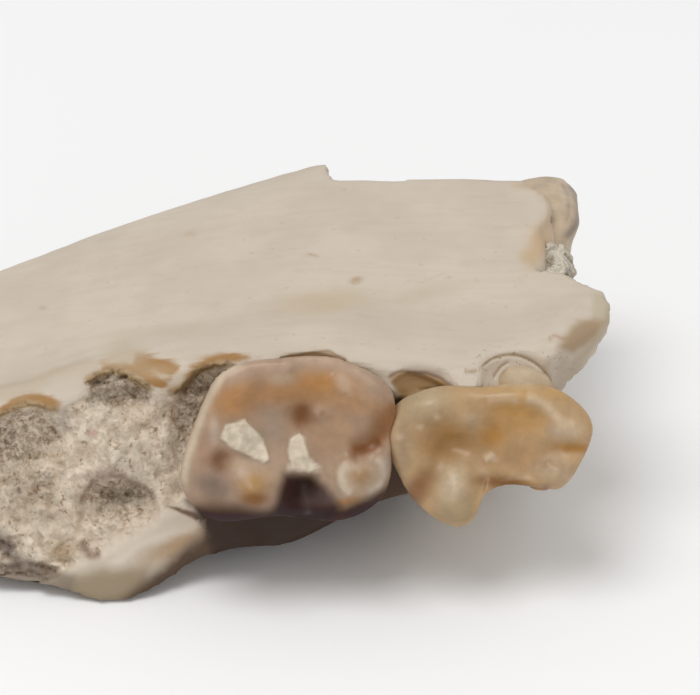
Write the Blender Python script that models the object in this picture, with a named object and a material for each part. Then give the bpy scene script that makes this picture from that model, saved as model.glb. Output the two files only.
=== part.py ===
"""Fossil lower jaw section of Ischyromys, lying on its outer face.

The sizes below are in millimetres, and the finished meshes are in metres.
X runs along the jaw to its front, Y from the tooth row to the lower border, and Z up.
Y is 0 at the inner rim of the tooth sockets.
"""

import math

import bmesh
import bpy
import numpy as np
from mathutils import Vector, noise

MM = 0.001
GAP = 0.05

# The middle of the whole object, which comes to the world's origin
MIDDLE = (0.04, 2.73, 0.0)

# Long edges of the bone, each as places (x, y, z)
INNER_RIM = (
    (-6.9, -1.0, 2.9),
    (-4.75, -0.65, 3.45),
    (-2.55, -0.3, 3.95),
    (-0.4, -0.1, 4.25),
    (1.25, -0.1, 4.4),
    (2.6, -0.3, 4.2),
    (4.0, -0.45, 4.1),
    (4.9, -0.2, 4.2),
    (5.4, 0.2, 4.35),
    (6.0, 0.95, 4.35),
    (6.9, 1.8, 4.25),
)
LOWER_BORDER = (
    (-6.9, 4.05, 2.92),
    (-4.75, 5.12, 3.27),
    (-2.55, 5.98, 3.74),
    (-0.4, 6.68, 4.13),
    (1.25, 7.12, 4.42),
    (4.0, 7.6, 4.6),
    (6.9, 7.8, 4.6),
)
OUTER_RIM = (
    (-6.9, -1.15, 0.6),
    (-4.75, -1.3, 0.35),
    (-3.65, -1.45, 0.2),
    (-2.55, -1.6, 0.0),
    (-1.85, -1.2, 0.3),
    (-1.1, -0.9, 0.57),
    (-0.4, -0.8, 0.7),
    (0.7, -0.7, 0.8),
    (1.25, -0.6, 1.1),
    (2.5, -0.3, 1.55),
    (4.0, 0.1, 1.55),
    (5.4, 0.4, 1.7),
    (6.9, 0.6, 1.9),
)
UNDERSIDE = (
    (-6.9, -0.08),
    (0.5, -0.08),
    (2.5, 0.15),
    (4.0, 0.45),
    (5.4, 0.85),
    (6.9, 1.2),
)
# The inner face across the jaw: shares of the way from rim to border, and how far each swells
INNER_SHOULDER = (0.4, 0.13)
INNER_SWELLING = ((0.27, -0.02), (0.6, 0.12), (0.88, 0.1))
BORDER_ROUNDING = (0.1, -0.08)
# The outer face across the jaw, from the lower border to the outer rim
BORDER_SWELLING = 0.4
BORDER_TURN = 0.25
UNDERSIDE_SHARES = (0.66, 0.4)
RIM_NECK = (0.9, 0.12)
BONE_STATIONS = 36
BONE_RING = 40
SOCKET_FACE_POINTS = 8
SOCKET_FACE_HOLLOW = 0.1

# Broken outline of the bone, seen from above
REAR_BREAK = ((-6.38, -3.0), (-6.33, -0.4), (-6.12, 0.9), (-6.34, 2.3), (-6.05, 3.4), (-6.2, 9.0))
BORDER_BREAK = ((1.12, 9.0), (1.16, 6.9), (1.36, 6.12), (3.1, 6.05), (4.95, 5.95))
FRONT_BREAK = (
    (5.33, 5.2),
    (5.3, 4.7),
    (5.08, 4.08),
    (4.86, 3.48),
    (5.1, 3.02),
    (5.7, 2.8),
    (6.0, 2.5),
    (6.32, 2.2),
    (6.42, 1.75),
    (6.3, 1.1),
    (6.1, -3.0),
)
PLAN_HEIGHT = 12.0
# Under the front lobe the outer wall is gone, in front of this x and below this z
LOBE_BACK = 5.5
LOBE_UNDERSIDE = 3.3
LOBE_SLOPE = math.radians(41)

# Cheek teeth: the crown leans towards the inner face of the jaw
CROWN_LEAN = math.radians(20)
CROWN_SEGMENTS = 30
CROWN_RINGS = 19
CROWN_HEIGHT = 1.5
NECK_LENGTH = 0.85
NECK_WIDTH = 0.72
MOLAR_CENTRE = (0.53, -1.45, 3.45)
MOLAR_OUTLINE = (
    (1.9, 0.6),
    (1.7, 1.15),
    (0.9, 1.5),
    (0.2, 1.58),
    (-0.6, 1.42),
    (-1.3, 1.2),
    (-1.75, 0.55),
    (-2.0, -0.35),
    (-1.9, -1.0),
    (-1.3, -1.5),
    (-0.2, -1.42),
    (0.9, -1.5),
    (1.6, -1.15),
    (1.83, -0.6),
    (1.8, 0.1),
)
# Each swelling or hollow of the chewing face: u, v, half length, half width, height
MOLAR_RELIEF = (
    (-0.65, -0.9, 0.42, 0.4, 0.42),
    (1.3, -0.62, 0.4, 0.38, 0.38),
    (0.25, -1.1, 0.3, 0.45, -0.5),
    (1.5, 0.0, 0.3, 0.3, -0.25),
    (0.18, 0.4, 0.2, 0.2, -0.2),
    (0.5, 0.52, 0.16, 0.16, 0.15),
    (1.45, 1.0, 0.4, 0.35, 0.2),
    (-1.0, 1.0, 0.45, 0.35, 0.15),
    (-1.15, 0.0, 0.35, 0.6, 0.12),
)
PREMOLAR_CENTRE = (4.2, -1.35, 3.07)
PREMOLAR_OUTLINE = (
    (1.8, 0.5),
    (1.45, 1.1),
    (0.7, 1.32),
    (-0.2, 1.2),
    (-1.0, 1.22),
    (-1.6, 1.0),
    (-1.76, 0.45),
    (-1.6, -0.55),
    (-1.2, -1.08),
    (-0.72, -1.42),
    (-0.42, -1.36),
    (-0.27, -1.05),
    (-0.15, -0.75),
    (0.25, -0.57),
    (0.9, -0.62),
    (1.35, -0.6),
    (1.65, -0.2),
)
PREMOLAR_RELIEF = (
    (-0.67, -0.6, 0.32, 0.55, 0.42),
    (-1.2, 1.0, 0.4, 0.35, 0.3),
    (0.5, 1.15, 0.8, 0.25, 0.2),
    (-0.75, 0.1, 0.35, 0.3, -0.25),
    (0.45, 0.6, 0.5, 0.3, -0.3),
    (-0.42, 0.7, 0.15, 0.15, 0.15),
    (1.25, 0.1, 0.3, 0.2, -0.25),
    (1.15, -0.35, 0.3, 0.22, 0.25),
    (0.2, -0.5, 0.3, 0.2, -0.2),
)
BASIN_DEPTH = 0.3
RIM_ROUNDING = 0.25
NECK_BULGE = 0.45
ROOT_SPACING = 0.5
ROOT_START = 0.6
ROOT_LENGTH = 2.6
ROOT_HALF_LENGTH = 0.52
ROOT_HALF_WIDTH = 0.85
ROOT_TIP = 0.45
ROOT_SEGMENTS = 20

# Curved front tooth inside the lower border: x, y, z and a scale of its section
INCISOR_LINE = (
    (-4.6, 2.9, 1.75, 0.55),
    (-4.3, 3.0, 1.8, 0.75),
    (-2.5, 3.95, 2.2, 0.85),
    (0.0, 4.75, 2.7, 0.95),
    (2.5, 5.4, 3.0, 1.0),
    (4.2, 5.72, 3.25, 1.0),
    (5.6, 5.9, 3.52, 1.0),
    (5.88, 6.0, 3.56, 0.88),
    (6.0, 6.06, 3.6, 0.6),
)
INCISOR_DEPTH = 1.35
INCISOR_WIDTH = 1.05
INCISOR_STATIONS = 16
INCISOR_RING = 22
INCISOR_BEVEL = 0.25

# Empty root sockets: x and z of the middle, then half length, half width and depth
SOCKETS = {
    "front_inner": (-2.6, 3.52, 0.74, 0.54, 1.6),
    "front_outer": (-2.62, 1.85, 0.72, 0.5, 1.7),
    "rear": (-4.3, 2.55, 0.75, 0.95, 1.7),
}
SEDIMENT_RECESS = 0.26
SEDIMENT_LUMPS = 0.1
LUMP_SIZE = 0.5
LUMP_STEPS = 8
FACE_CUT_DEPTH = 4.0
# Hollows in the rim beside the teeth: centre, then half sizes
FRONT_NOTCH = ((5.22, 3.7, 3.75), (0.5, 0.8, 0.7))
HOLLOWS = (
    ((2.95, -0.55, 4.1), (0.6, 0.5, 0.5)),
    ((4.6, -0.35, 4.25), (0.66, 0.68, 0.6)),
    ((0.93, -0.3, 4.45), (0.75, 0.35, 0.35)),
    ((-0.9, -0.5, 4.1), (0.62, 0.5, 0.45)),
)
NOTCH_LUMPS = 0.25
BALL_SEGMENTS = 18
BALL_RINGS = 11

CREAM_BONE = (0.58, 0.51, 0.41)
AMBER_ENAMEL = (0.52, 0.35, 0.17)
LILAC_ENAMEL = (0.46, 0.32, 0.25)
TAN_DENTINE = (0.42, 0.35, 0.28)
GREY_MATRIX = (0.33, 0.29, 0.24)


def clear_scene():
    for obj in list(bpy.data.objects):
        bpy.data.objects.remove(obj, do_unlink=True)


def new_collection(name, hidden=False):
    collection = bpy.data.collections.new(name)
    bpy.context.scene.collection.children.link(collection)
    collection.hide_render = hidden
    return collection


def new_material(name, colour, roughness):
    material = bpy.data.materials.new(name)
    material.use_nodes = True
    shader = material.node_tree.nodes["Principled BSDF"]
    shader.inputs["Base Color"].default_value = (*colour, 1.0)
    shader.inputs["Roughness"].default_value = roughness
    shader.inputs["Metallic"].default_value = 0.0
    return material


def place(obj, collection, origin, material=None):
    collection.objects.link(obj)
    obj.parent = origin
    if material is None:
        obj.hide_render = True
        obj.display_type = "WIRE"
    else:
        obj.data.materials.append(material)
    return obj


def finish_mesh(name, bm):
    """The mesh in metres, in triangles that face outwards."""
    bmesh.ops.scale(bm, vec=(MM, MM, MM), verts=bm.verts)
    bmesh.ops.triangulate(bm, faces=bm.faces)
    bmesh.ops.recalc_face_normals(bm, faces=bm.faces)
    mesh = bpy.data.meshes.new(name)
    bm.to_mesh(mesh)
    bm.free()
    return bpy.data.objects.new(name, mesh)


def cut(obj, cutter, operation="DIFFERENCE"):
    modifier = obj.modifiers.new(f"{operation.lower()}_{cutter.name}", "BOOLEAN")
    modifier.object = cutter
    modifier.operation = operation
    modifier.solver = "EXACT"


def smooth(knots, values, at):
    """A smooth curve through values at the knots, read at the places in at."""
    knots = np.asarray(knots, dtype=float)
    values = np.asarray(values, dtype=float)
    slopes = np.gradient(values, knots, axis=0)
    before = np.clip(np.searchsorted(knots, at, side="right") - 1, 0, len(knots) - 2)
    step = (knots[before + 1] - knots[before])[:, None]
    t = (np.asarray(at) - knots[before])[:, None] / step
    start = (1 + 2 * t) * (1 - t) ** 2 * values[before] + t * (1 - t) ** 2 * step * slopes[before]
    end = t * t * (3 - 2 * t) * values[before + 1] + t * t * (t - 1) * step * slopes[before + 1]
    return start + end


def edge_at(edge, x):
    edge = np.asarray(edge)
    return smooth(edge[:, 0], edge[:, 1:], np.array([x]))[0]


def mix(a, b, share):
    return a + (b - a) * share


def socket_face(x, z):
    """How far out the face that holds the sockets lies at x and z."""
    rim = edge_at(INNER_RIM, x)
    outer = edge_at(OUTER_RIM, x)
    share = (z - outer[1]) / (rim[1] - outer[1])
    return mix(outer[0], rim[0], share) + SOCKET_FACE_HOLLOW * math.sin(math.pi * share)


def bone_section(x):
    """The outline of the bone across the jaw at x, as points (y, z)."""
    rim = edge_at(INNER_RIM, x)
    border = edge_at(LOWER_BORDER, x)
    outer = edge_at(OUTER_RIM, x)
    under = edge_at(UNDERSIDE, x)[0]
    inner_face = [rim, rim + INNER_SHOULDER]
    inner_face += [mix(rim, border, share) + (0.0, rise) for share, rise in INNER_SWELLING]
    inner_face += [border + BORDER_ROUNDING]
    outer_face = [
        (border[0] + BORDER_SWELLING, mix(border[1], under, 0.35)),
        (border[0] - BORDER_TURN, mix(border[1], under, 0.8)),
    ]
    outer_face += [(mix(outer[0], border[0], share), under) for share in UNDERSIDE_SHARES]
    outer_face += [(outer[0] + RIM_NECK[0], mix(outer[1], under, 0.5) + RIM_NECK[1]), outer]
    corners = np.array(inner_face + outer_face)
    spacing = np.linalg.norm(np.diff(corners, axis=0), axis=1)
    along = np.concatenate(([0.0], np.cumsum(spacing)))
    wall = smooth(along, corners, np.linspace(0.0, along[-1], BONE_RING))
    heights = np.linspace(outer[1], rim[1], SOCKET_FACE_POINTS + 2)[1:-1]
    return np.vstack((wall, [(socket_face(x, z), z) for z in heights]))


def loft(name, rings):
    """A closed solid through rings that have the same number of points."""
    bm = bmesh.new()
    rows = [[bm.verts.new(point) for point in ring] for ring in rings]
    for low, high in zip(rows, rows[1:]):
        for i in range(len(low)):
            after = (i + 1) % len(low)
            bm.faces.new((low[i], low[after], high[after], high[i]))
    bm.faces.new(rows[0])
    bm.faces.new(rows[-1])
    return finish_mesh(name, bm)


def bone_blank(name):
    stations = np.linspace(INNER_RIM[0][0], INNER_RIM[-1][0], BONE_STATIONS)
    return loft(name, [[(x, y, z) for y, z in bone_section(x)] for x in stations])


def plan_cutter(name, outline, height):
    """The space above an outline, as a filled flat curve made into a mesh."""
    curve = bpy.data.curves.new(name, "CURVE")
    curve.dimensions = "2D"
    curve.fill_mode = "BOTH"
    curve.extrude = height * MM
    spline = curve.splines.new("POLY")
    spline.points.add(len(outline) - 1)
    for point, (x, y) in zip(spline.points, outline):
        point.co = (x * MM, y * MM, 0.0, 1.0)
    spline.use_cyclic_u = True
    drawn = bpy.data.objects.new(f"{name}_curve", curve)
    bpy.context.scene.collection.objects.link(drawn)
    evaluated = drawn.evaluated_get(bpy.context.evaluated_depsgraph_get())
    mesh = bpy.data.meshes.new_from_object(evaluated)
    bm = bmesh.new()
    bm.from_mesh(mesh)
    bmesh.ops.remove_doubles(bm, verts=bm.verts, dist=GAP * MM / 10)
    bmesh.ops.recalc_face_normals(bm, faces=bm.faces)
    bm.to_mesh(mesh)
    bm.free()
    bpy.data.objects.remove(drawn, do_unlink=True)
    return bpy.data.objects.new(name, mesh)


def box_cutter(name, low, high):
    bm = bmesh.new()
    bmesh.ops.create_cube(bm, size=1.0)
    low, high = Vector(low), Vector(high)
    for vert in bm.verts:
        vert.co = (low + high) / 2 + vert.co * (high - low)
    return finish_mesh(name, bm)


def ellipsoid(name, centre, half_sizes, grow=0.0, lumps=0.0):
    bm = bmesh.new()
    bmesh.ops.create_uvsphere(bm, u_segments=BALL_SEGMENTS, v_segments=BALL_RINGS, radius=1.0)
    sizes = Vector(half_sizes) + Vector((grow, grow, grow))
    for vert in bm.verts:
        lump = 1 + lumps * noise.noise(vert.co / LUMP_SIZE)
        vert.co = Vector(centre) + vert.co * lump * sizes
    return finish_mesh(name, bm)


def socket_ball(name, socket, grow=0.0):
    x, z, half_length, half_width, depth = socket
    centre = (x, socket_face(x, z), z)
    return ellipsoid(name, centre, (half_length, depth, half_width), grow)


def sediment_face_cutter(name, socket):
    """The space outside the lumpy face of a socket's filling, which lies deeper under the inner rim."""
    x, z, half_length, half_width, depth = socket
    bm = bmesh.new()
    bmesh.ops.create_grid(bm, x_segments=LUMP_STEPS, y_segments=LUMP_STEPS, size=half_width + 0.3)
    for vert in bm.verts:
        vert.co = Vector((x + vert.co.x, -FACE_CUT_DEPTH, z + vert.co.y))
    made = bmesh.ops.extrude_face_region(bm, geom=bm.faces[:])["geom"]
    for vert in [item for item in made if isinstance(item, bmesh.types.BMVert)]:
        lumps = noise.noise(vert.co / LUMP_SIZE) * SEDIMENT_LUMPS
        recess = SEDIMENT_RECESS * (0.5 + 0.5 * (vert.co.z - z) / half_width)
        vert.co.y = socket_face(vert.co.x, vert.co.z) + recess + lumps
    return finish_mesh(name, bm)


def outline_radius(outline):
    """The distance from the middle to a smooth closed outline, by angle."""
    points = np.asarray(outline)
    closed = np.vstack((points[-2:], points, points[:3]))
    places = np.arange(len(closed), dtype=float)
    drawn = smooth(places, closed, np.linspace(2.0, len(points) + 2.0, 240))
    angles = np.arctan2(drawn[:, 1], drawn[:, 0])
    order = np.argsort(angles)
    radii = np.hypot(drawn[:, 0], drawn[:, 1])
    return lambda angle: float(np.interp(angle, angles[order], radii[order], period=math.tau))


def relief_height(relief, u, v):
    height = 0.0
    for place_u, place_v, half_u, half_v, rise in relief:
        height += rise * math.exp(-(((u - place_u) / half_u) ** 2) - ((v - place_v) / half_v) ** 2)
    return height


def crown_axes():
    """The crown's directions: along the jaw, across the chewing face, and out of it."""
    lean = CROWN_LEAN
    along = Vector((1.0, 0.0, 0.0))
    across = Vector((0.0, math.sin(lean), math.cos(lean)))
    outwards = Vector((0.0, -math.cos(lean), math.sin(lean)))
    return along, across, outwards


def in_jaw(centre, u, v, w):
    along, across, outwards = crown_axes()
    return Vector(centre) + along * u + across * v + outwards * w


def crown(name, centre, outline, relief, grow):
    """A ball whose upper half becomes the chewing face and whose lower half becomes the walls."""
    radius_at = outline_radius(outline)
    bm = bmesh.new()
    bmesh.ops.create_uvsphere(bm, u_segments=CROWN_SEGMENTS, v_segments=CROWN_RINGS, radius=1.0)
    for vert in bm.verts:
        angle = math.atan2(vert.co.y, vert.co.x)
        turn = math.acos(max(-1.0, min(1.0, vert.co.z))) / math.pi
        rim = radius_at(angle) + grow
        if turn <= 0.5:
            reach = 2 * turn
            u = rim * reach * math.cos(angle)
            v = rim * reach * math.sin(angle)
            w = relief_height(relief, u, v) - BASIN_DEPTH * (1 - reach**2)
            w = w * (1 - reach**6) - RIM_ROUNDING * reach**8 + grow
        else:
            down = 2 * turn - 1
            taper = min(1.0, down / 0.6)
            closing = max(0.0, (down - 0.6) / 0.4)
            u = rim * math.cos(angle) * mix(1.0, NECK_LENGTH, taper) * (1 - closing)
            v = rim * math.sin(angle) * mix(1.0, NECK_WIDTH, taper) * (1 - closing)
            w = -RIM_ROUNDING - (CROWN_HEIGHT - RIM_ROUNDING) * taper - NECK_BULGE * closing - grow * taper
        vert.co = in_jaw(centre, u, v, w)
    return finish_mesh(name, bm)


def root(name, centre, u, grow):
    """A flattened cone that runs from the neck of a crown into the bone."""
    bm = bmesh.new()
    length = ROOT_LENGTH + ROOT_START
    bmesh.ops.create_cone(
        bm,
        cap_ends=True,
        segments=ROOT_SEGMENTS,
        radius1=1.0,
        radius2=ROOT_TIP,
        depth=length,
    )
    for vert in bm.verts:
        down = length / 2 + vert.co.z
        side_u = vert.co.x * ROOT_HALF_LENGTH
        side_v = vert.co.y * ROOT_HALF_WIDTH
        stretch = 1 + grow / math.hypot(side_u, side_v)
        end = grow if vert.co.z > 0 else 0.0
        w = ROOT_START - CROWN_HEIGHT - down - end
        vert.co = in_jaw(centre, u + side_u * stretch, side_v * stretch, w)
    return finish_mesh(name, bm)


def tooth(name, centre, outline, relief, grow, cutters, origin):
    """A crown with a front and a rear root joined to it."""
    body = crown(name, centre, outline, relief, grow)
    reach = max(u for u, v in outline)
    for side in (-1, 1):
        part = root(f"{name}_root_{side + 2}", centre, side * reach * ROOT_SPACING, grow)
        place(part, cutters, origin)
        cut(body, part, "UNION")
    return body


def incisor(name, grow):
    line = np.asarray(INCISOR_LINE)
    reach = line[-1, 0] - line[0, 0]
    ends = 0.5 - 0.5 * np.cos(np.linspace(0.0, math.pi, INCISOR_STATIONS))
    stations = line[0, 0] + reach * ends
    rings = []
    for x, (y, z, scale) in zip(stations, smooth(line[:, 0], line[:, 1:], stations)):
        ring = []
        for i in range(INCISOR_RING):
            angle = math.tau * i / INCISOR_RING
            flat = 1 - INCISOR_BEVEL * max(0.0, math.sin(angle)) ** 4
            depth = (INCISOR_DEPTH * scale + grow) * math.cos(angle)
            width = (INCISOR_WIDTH * scale * flat + grow) * math.sin(angle)
            ring.append((x, y + depth, z + width))
        rings.append(ring)
    if grow:
        rings[0] = [(x - grow, y, z) for x, y, z in rings[0]]
        rings[-1] = [(x + 1.0, y, z) for x, y, z in rings[-1]]
    return loft(name, rings)


def add_bone(parts, cutters, origin):
    bone = place(bone_blank("jaw_bone"), parts, origin, new_material("cream_bone", CREAM_BONE, 0.55))
    outline = REAR_BREAK + BORDER_BREAK + FRONT_BREAK
    plan = plan_cutter("plan_outline", outline, PLAN_HEIGHT)
    cut(bone, place(plan, cutters, origin), "INTERSECT")
    floor = box_cutter("floor_level", (-15.0, -15.0, -3.0), (15.0, 15.0, 0.0))
    cut(bone, place(floor, cutters, origin))
    under_lobe = box_cutter("under_lobe", (LOBE_BACK, -5.0, -4.0), (9.0, 9.0, LOBE_UNDERSIDE))
    cut(bone, place(under_lobe, cutters, origin))
    lobe_slope = box_cutter("lobe_slope", (0.0, -5.0, -3.0), (4.0, 9.0, 0.0))
    lobe_slope.location = Vector((LOBE_BACK, 0.0, LOBE_UNDERSIDE)) * MM
    lobe_slope.rotation_euler.y = -LOBE_SLOPE
    cut(bone, place(lobe_slope, cutters, origin))
    return bone


def add_tooth(name, centre, outline, relief, material, bone, parts, cutters, origin):
    socket = tooth(f"{name}_socket", centre, outline, relief, GAP, cutters, origin)
    cut(bone, place(socket, cutters, origin))
    body = tooth(name, centre, outline, relief, 0.0, cutters, origin)
    place(body, parts, origin, material)


def add_socket_sediment(label, socket, material, bone, parts, cutters, origin):
    cut(bone, place(socket_ball(f"socket_{label}", socket, GAP), cutters, origin))
    filling = place(socket_ball(f"sediment_{label}_socket", socket), parts, origin, material)
    cut(filling, place(sediment_face_cutter(f"face_{label}", socket), cutters, origin))


def add_canal_sediment(material, canal, bone, parts, cutters, origin):
    mouth = ellipsoid("canal_mouth", *FRONT_NOTCH, grow=GAP, lumps=NOTCH_LUMPS)
    cut(bone, place(mouth, cutters, origin))
    lump = place(ellipsoid("canal_sediment", *FRONT_NOTCH, lumps=NOTCH_LUMPS), parts, origin, material)
    cut(lump, canal)


def build():
    clear_scene()
    parts = new_collection("ischyromys_jaw_section")
    cutters = new_collection("cutters", hidden=True)
    origin = bpy.data.objects.new("jaw_origin", None)
    origin.location = -Vector(MIDDLE) * MM
    parts.objects.link(origin)
    groups = (parts, cutters, origin)

    bone = add_bone(*groups)
    lilac = new_material("lilac_enamel", LILAC_ENAMEL, 0.25)
    add_tooth("first_molar", MOLAR_CENTRE, MOLAR_OUTLINE, MOLAR_RELIEF, lilac, bone, *groups)
    amber = new_material("amber_enamel", AMBER_ENAMEL, 0.22)
    add_tooth("fourth_premolar", PREMOLAR_CENTRE, PREMOLAR_OUTLINE, PREMOLAR_RELIEF, amber, bone, *groups)

    canal = place(incisor("incisor_canal", GAP), cutters, origin)
    cut(bone, canal)
    place(incisor("incisor", 0.0), parts, origin, new_material("tan_dentine", TAN_DENTINE, 0.35))

    matrix = new_material("grey_matrix", GREY_MATRIX, 0.9)
    for label, socket in SOCKETS.items():
        add_socket_sediment(label, socket, matrix, bone, *groups)
    add_canal_sediment(matrix, canal, bone, *groups)
    for i, (centre, sizes) in enumerate(HOLLOWS):
        cut(bone, place(ellipsoid(f"hollow_{i + 1}", centre, sizes), cutters, origin))


build()
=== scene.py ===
"""Looks of a fossil lower jaw section of Ischyromys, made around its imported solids.

Shapes are worked out in millimetres in the jaw's own directions: x along the jaw to its front,
y from the tooth row to the lower border, and z up. Y is 0 at the inner rim of the tooth sockets.
Places on the side that faces the camera are given in pixels of the camera's picture.
"""

import math
from itertools import product

import bmesh
import bpy
import numpy as np
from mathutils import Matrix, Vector


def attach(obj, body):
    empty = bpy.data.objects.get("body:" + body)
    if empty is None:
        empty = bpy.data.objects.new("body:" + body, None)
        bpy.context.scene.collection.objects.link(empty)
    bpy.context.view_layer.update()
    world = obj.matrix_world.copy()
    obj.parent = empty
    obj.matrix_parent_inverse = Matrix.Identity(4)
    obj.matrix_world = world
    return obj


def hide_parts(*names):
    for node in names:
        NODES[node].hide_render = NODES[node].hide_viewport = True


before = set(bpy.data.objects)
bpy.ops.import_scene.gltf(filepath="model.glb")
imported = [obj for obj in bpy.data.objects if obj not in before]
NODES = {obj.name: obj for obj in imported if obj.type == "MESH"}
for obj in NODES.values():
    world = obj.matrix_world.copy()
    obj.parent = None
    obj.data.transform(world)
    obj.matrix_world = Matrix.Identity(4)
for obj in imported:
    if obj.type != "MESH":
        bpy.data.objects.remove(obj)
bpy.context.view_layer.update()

MM = 0.001
# The middle of the jaw section in its own directions, which is at the world's origin
MIDDLE = np.array((0.04, 2.73, 0.0))

# The camera: angle above the horizon, distance, the place that it looks at, lens and sensor
CAMERA_RISE = math.radians(32)
CAMERA_DISTANCE = 85.0
CAMERA_TARGET = (1.578, -2.23, 4.251)
CAMERA_LENS = 240.4
CAMERA_SENSOR = 36.0
# The nearest and the farthest that it sees, in metres
CAMERA_REACH = (0.005, 5.0)
# The same camera's picture: focal length and middle, in pixels of a picture 700 wide and 695 high
PICTURE_FOCUS = 4675.0
PICTURE_MIDDLE = (350.0, 347.5)

# Soft round lights: place and width in millimetres, and power
LIGHTS = {
    "key": ((-35.0, -30.0, 130.0), 80.0, 0.085),
    "fill": ((70.0, -110.0, 60.0), 90.0, 0.018),
}
SKY_STRENGTH = 0.6
# The floor's corners, in metres
FLOOR_CORNERS = ((-1.0, -1.0, 0.0), (1.0, -1.0, 0.0), (1.0, 1.0, 0.0), (-1.0, 1.0, 0.0))
FLOOR_WHITES = ((0.92, 0.92, 0.92), (0.94, 0.94, 0.94))

# Grid size and smoothing rounds of each skin, and how near points are when they are welded
BONE_VOXEL, BONE_SMOOTHING = 0.105, 4
TOOTH_VOXEL, TOOTH_SMOOTHING = 0.032, 3
INCISOR_VOXEL, INCISOR_SMOOTHING = 0.09, 8
LUMP_VOXEL, LUMP_SMOOTHING = 0.024, 2
WELD = 0.0005
# Cuts across the bone's faces, where it is grainy and where it is smooth, and the share of faces taken
# from its far side
FINE_CUTS = 3
FACE_CUTS = 1
FAR_CUT = 0.9

# Cheek teeth, as in the solids: the crown leans towards the inner face of the jaw
CROWN_LEAN = math.radians(20)
CROWN_HEIGHT = 1.5
NECK_LENGTH = 0.85
NECK_WIDTH = 0.72
NECK_SHARE = 0.6
NECK_BULGE = 0.45
BASIN_DEPTH = 0.3
RIM_ROUNDING = 0.25
ROOT_SPACING = 0.5
ROOT_START = 0.6
ROOT_LENGTH = 2.6
ROOT_HALF_SIZES = (0.52, 0.85)
ROOT_TIP = 0.45
CROWN_ANGLES = 240
OUTLINE_STEPS = 960
FACE_RINGS = 90
WALL_RINGS = 60
ROOT_RINGS = 24
ROOT_ANGLES = 48
ROUND_END = 0.02
ENAMEL_GRAIN = 0.01
CRUST_GRAIN = 0.03
CRUST_STRAY = 1.5
CRUST_CREAMS = np.array(((0.6, 0.52, 0.43), (0.72, 0.65, 0.56)))
ROOT_CREAM = np.array((0.56, 0.49, 0.4))
# The shine adds this much light to the enamel's colours, which are given as they look
GLOSS_LIFT = 0.022
DARKEST = 0.008

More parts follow.
